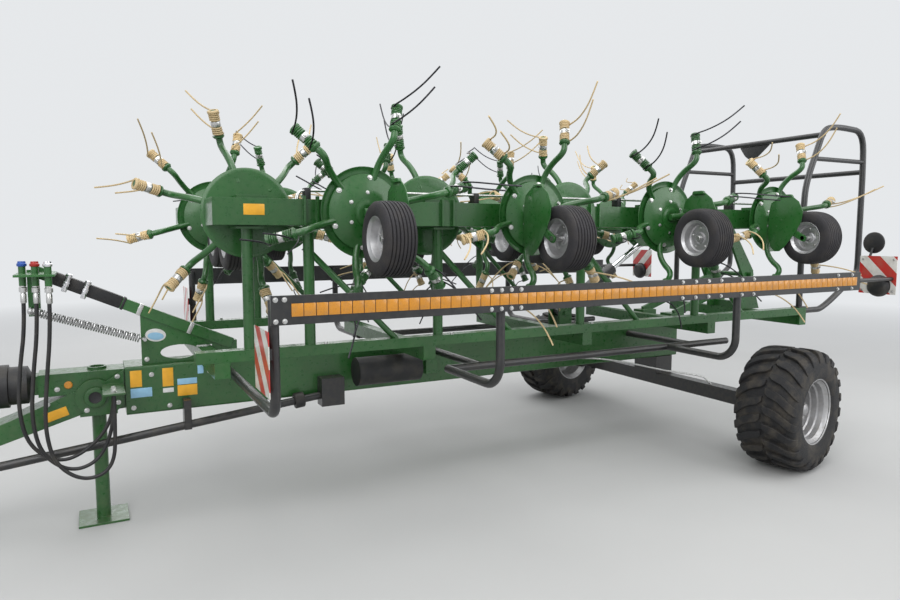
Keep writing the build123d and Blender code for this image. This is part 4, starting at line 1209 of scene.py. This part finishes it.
sleeve = along_holder(-2.300, -2.640, 0.0335, 0.0350, 0.006)
strap = along_holder(-2.285, -2.297, 0.0355, 0.0370, 0.002)
dress("holder_sleeve_set", joined([sleeve, strap]), black_plastic, "black_plastic")
clips = [along_holder(x, x - 0.022, 0.0325, 0.0340, 0.002)
         for x in (-2.195, -1.925)]
sockets = []
for x in (-2.560, -2.470):
    seat = on_holder(x) + Vector((-0.010, -0.050, -0.006))
    socket = turned([(0, -0.040), (0.0125, -0.040), (0.0145, -0.034), (0.0145, -0.006),
                    (0.0185, -0.004), (0.0185, 0.014), (0.0150, 0.016), (0.0150, 0.040), (0.0175, 0.042),
                    (0.0175, 0.060), (0.0120, 0.064), (0, 0.064)], steps=24)
    sockets.append(settle(socket, frame_to(seat, (0.34, 0, 0.94), (0, 1, 0))))
dress("holder_sockets", joined(sockets), chrome, "spring_steel")
dress("holder_clips", joined(clips), zinc, "spring_steel")

# %% Pin, ring, marker and bolts on the drawbar
NEAR_FACE = (0, -1, 0)
BEAM_FACE, CHEEK_FACE, SLOPE_FACE, DRAWBAR_FACE, GUSSET_FACE = -0.130, -0.118, -0.100, -0.090, -0.085
cheek_pin = frame_to((-2.455, -0.132, 0.743), NEAR_FACE)
ring = turned([(0.0330, -0.012), (0.0560, -0.012), (0.0580, -0.010), (0.0580, 0.004),
              (0.0550, 0.008), (0.0480, 0.010), (0.0345, 0.010), (0.0330, 0.008)], steps=36, close=True)
dress("cheek_ring", settle(ring, cheek_pin), green_round, "green_paint")
# The pin's mouth is a shallow dark disc inside the ring: painted shade that stands in for the depth of the
# hollow, which only borrows the black plastic finish.
hole_shade = turned([(0, -0.002), (0.0335, -0.002), (0.0335, 0.003), (0.027, 0.002),
                (0.024, 0.001), (0, 0.001)], steps=36)
dress("cheek_hole_shade", settle(hole_shade, cheek_pin), black_plastic, "black_plastic")
marker = turned([(0, 0), (0.021, 0), (0.021, 0.005), (0.017, 0.009), (0, 0.010)], steps=28)
settle(marker, frame_to((-2.585, DRAWBAR_FACE, 0.820), NEAR_FACE))
dress("side_marker", marker, amber, "amber_strip")

FRONT_BOLTS = (
    # face y, then x and z of each bolt on that face
    (BEAM_FACE, (-2.162, 0.846), (-1.842, 0.838), (-2.262, 0.660), (-2.070, 0.654)),
    (CHEEK_FACE, (-2.340, 0.850), (-2.340, 0.700), (-2.500, 0.672)),
    (DRAWBAR_FACE, (-2.640, 0.800)), (GUSSET_FACE, (-2.180, 0.930), (-1.780, 0.930)),
    (SLOPE_FACE, (-2.690, 0.722)),
)
front_bolts = [((x, y, z), NEAR_FACE) for y, *places in FRONT_BOLTS for x, z in places]
top_bolts = [((x, y, 0.912), (0, 0, 1)) for x in (-1.775, -1.655) for y in (-0.106, -0.034)]
shelf_bolts = [((-2.365, -y, 0.810), (0, 0, 1)) for y in (0.25, 0.30, 0.35)]
dress("drawbar_bolts", bolts(front_bolts + top_bolts), None, "spring_steel")
dress("shelf_nuts", bolts(shelf_bolts, zinc, 1.1), None, "spring_steel")
print("drawbar dressed")

# %% Lay the blank stickers
FACES = {"beam": ("chassis", BEAM_FACE), "row": ("carrier", -0.810)}
SHEETS = {"amber": sticker_amber, "blue": sticker_blue, "white": sticker_white}
STICKERS = (
    # face, colour, number, x from, x to, z from, z to
    ("beam", "amber", 1, -2.275, -2.214, 0.780, 0.876),
    ("beam", "blue", 1, -2.275, -2.162, 0.718, 0.772),
    ("beam", "amber", 2, -2.104, -2.045, 0.768, 0.877),
    ("beam", "white", 1, -2.104, -2.045, 0.732, 0.758),
    ("beam", "blue", 2, -2.024, -1.914, 0.771, 0.806),
    ("beam", "amber", 3, -2.024, -1.914, 0.703, 0.767),
    ("beam", "blue", 3, -1.909, -1.876, 0.827, 0.880),
    ("row", "amber", 1, -1.748, -1.642, 1.753, 1.809),
    ("row", "amber", 2, 1.560, 1.640, 1.750, 1.812),
)
STICKER_T = 0.0012
for face, colour, number, x0, x1, z0, z1 in STICKERS:
    body, y = FACES[face]
    sheet = block((x0, y - STICKER_T, z0), (x1, y, z1), 0.0004)
    dress(f"{face}_{colour}_{number}", sheet, SHEETS[colour], "amber_strip", body=body)
slope = settle(block((-0.058, -STICKER_T, -0.026), (0.058, 0, 0.026), 0.0004),
               Matrix.Translation((-2.650, SLOPE_FACE, 0.662)) @ Matrix.Rotation(radians(-17.4), 4, "Y"))
dress("drawbar_amber", slope, sticker_amber, "amber_strip")
OVALS = (
    # name, material, half width, half height, face y, z
    ("gusset_oval", sticker_white, 0.056, 0.038, GUSSET_FACE, 1.068),
    ("gusset_oval_inner", sticker_blue, 0.044, 0.022, GUSSET_FACE - STICKER_T, 1.062),
)
for name, material, wide, high, y, z in OVALS:
    edge = [(wide * cos(k * pi / 18), high * sin(k * pi / 18)) for k in range(36)]
    oval = flat_plate(edge, STICKER_T, 0.0003)
    settle(oval, frame_to((-2.128, y, z), NEAR_FACE, (1, 0, -0.12)))
    dress(name, oval, material, "amber_strip")
print("stickers", len(STICKERS) + 1 + len(OVALS))

# %% [markdown]
# ## Lines, lamps and fittings
# Steel lines run along the tops of the rotor beams in black clamps, and one goes back
# from the main beam to the axle. At the rear each board has a lamp in a round black
# housing and a round reflector above it. The last bolts and the shaft's collar follow.

# %% Run the steel lines
LINE_Y, LINE_Z = (0.722, 0.752), 1.889
LINE_WAVES = ((-0.8, 0), (-0.1, 0.002), (0.6, 0), (1.3, 0.002), (1.9, 0))
CLAMP_X = (-1.40, -0.90, -0.36, 0.24, 0.76, 1.32, 1.86, 2.24)
CLAMP_Y, CLAMP_HALF_X, CLAMP_HALF_Y = 0.737, 0.016, 0.032
AXLE_LINE = ((0.30, -0.134, 0.700), (0.42, -0.142, 0.700), (0.95, -0.150, 0.690), (1.30, -0.20, 0.640),
             (1.62, -0.42, 0.560), (1.80, -0.60, 0.545), (1.83, -0.64, 0.500), (1.84, -0.65, 0.478))
line_pieces, clamp_pieces = [], []
for side in SIDES.values():
    for y in LINE_Y:
        points = [(-1.455, side * y, 1.842), (-1.450, side * y, 1.880), (-1.41, side * y, LINE_Z)]
        points += [(x, side * (y + wave), LINE_Z) for x, wave in LINE_WAVES]
        points += [(2.30, side * y, LINE_Z), (2.36, side * y, 1.882), (2.37, side * y, 1.846)]
        line_pieces.append(tube(points, 0.0065, sides=10, steps=4))
    for x in CLAMP_X:
        low = (x - CLAMP_HALF_X, side * CLAMP_Y - CLAMP_HALF_Y, 1.838)
        high = (x + CLAMP_HALF_X, side * CLAMP_Y + CLAMP_HALF_Y, 1.902)
        clamp_pieces.append(block(low, high))
dress("beam_lines", joined(line_pieces), zinc, "spring_steel", body="carrier")
dress("beam_clamps", joined(clamp_pieces), black_plastic, "black_plastic", body="carrier")
dress("axle_line", tube(AXLE_LINE, 0.007, sides=10), zinc, "spring_steel")
print("lines", len(line_pieces) + 1)

# %% Fit the lamps and reflectors
LAMP_PARTS = (
    # is glass, x, distance from the centreline, z, steps, profile: housing, disc, lens, disc face
    (False, 2.8545, 1.288, 1.262, 40, ((0, 0), (0.050, 0), (0.066, 0.006), (0.079, 0.020),
     (0.083, 0.036), (0.083, 0.050), (0, 0.050))),
    (False, 2.963, 1.190, 1.590, 44, ((0, 0), (0.074, 0), (0.082, 0.004), (0.083, 0.008),
     (0.083, 0.012), (0.079, 0.016), (0, 0.016))),
    (True, 2.964, 1.268, 1.265, 36, ((0, 0), (0.041, 0), (0.041, 0.003), (0.036, 0.007), (0, 0.010))),
    (True, 2.979, 1.190, 1.590, 40, ((0, 0), (0.070, 0), (0.070, 0.002), (0, 0.003))),
)
lamp_pieces, glass_pieces = [], []
for side in SIDES.values():
    for is_glass, x, y, z, steps, profile in LAMP_PARTS:
        piece = turned(profile, steps=steps)
        settle(piece, frame_to((x, side * y, z), (1, 0, 0), (0, 1, 0)))
        (glass_pieces if is_glass else lamp_pieces).append(piece)
dress("lamp_housings", joined(lamp_pieces), black_plastic, "black_plastic")
dress("lamp_lenses", joined(glass_pieces), red_lens, "lamp_housing")
print("lamps", len(lamp_pieces))

# %% Bolt the boards and the rails
board_places = [((2.905, side * y, z), (-1, 0, 0))
                for side in SIDES.values() for y in (1.155, 1.385) for z in (1.225, 1.465)]
rail_places = [((x, side * 0.715, 1.045), (0, 0, 1))
               for side in SIDES.values() for x in (-1.63, -1.30, -0.505, 0.585, 1.675)]
dress("board_bolts", bolts(board_places, scale=0.6), None, "spring_steel")
dress("rail_bolts", bolts(rail_places, scale=0.9), None, "spring_steel")
COLLAR_AT, SHAFT_RUN = (-1.315, -0.178, 0.610), (2.12, 0, 0.235)
collar = turned([(0.027, -0.030), (0.046, -0.030), (0.049, -0.026), (0.049, 0.026),
                (0.046, 0.030), (0.027, 0.030)], steps=36, close=True)
settle(collar, frame_to(COLLAR_AT, SHAFT_RUN, (0, 1, 0)))
dress("shaft_collars", collar, black_plastic, "black_plastic")
print("fittings ready")

# %% [markdown]
# ## Floor
# The floor is a large pale sheet that isn't part of the machine. Close by, it takes the
# light and holds the soft shadows. With distance, what is seen of it turns into the
# colour of the sky, so that no hard line crosses the picture.

# %% Lay the floor
FLOOR_SIZE = 240
HAZE_FROM, HAZE_FULL = 5.5, 15.0
let_go()
bpy.ops.mesh.primitive_plane_add(size=FLOOR_SIZE, location=(0, 0, 0))
floor = named(bpy.context.object, "floor")
floor_shader = Shader("pale_floor", roughness=0.9)
cloud = floor_shader.ramp(floor_shader.noise(0.35, 4), 0.3, 0.7)
floor_shader.finish(floor_shader.mix(cloud, (0.50, 0.50, 0.49), (0.55, 0.55, 0.54)))
far = floor_shader.add("VectorMath")
far.operation = "LENGTH"
floor_shader.links.new(floor_shader.place, far.inputs[0])
haze = floor_shader.add("Emission", Color=SKY_COLOUR, Strength=SKY_STRENGTH)
ray = floor_shader.add("LightPath")
looked_at = floor_shader.math("MAXIMUM", ray.outputs["Is Camera Ray"], ray.outputs["Is Glossy Ray"])
distance = floor_shader.ramp(far.outputs["Value"], HAZE_FROM, HAZE_FULL)
share = floor_shader.math("MULTIPLY", distance, looked_at)
blend = floor_shader.add("MixShader")
for socket, source in zip(blend.inputs, (share, floor_shader.surface.outputs[0], haze.outputs[0])):
    floor_shader.links.new(source, socket)
floor_shader.links.new(blend.outputs[0], floor_shader.nodes["Material Output"].inputs["Surface"])
cover(floor, floor_shader.material)
print("floor ready")

# %% Remove the patterns
let_go()
for pattern in patterns:
    bpy.data.objects.remove(pattern)
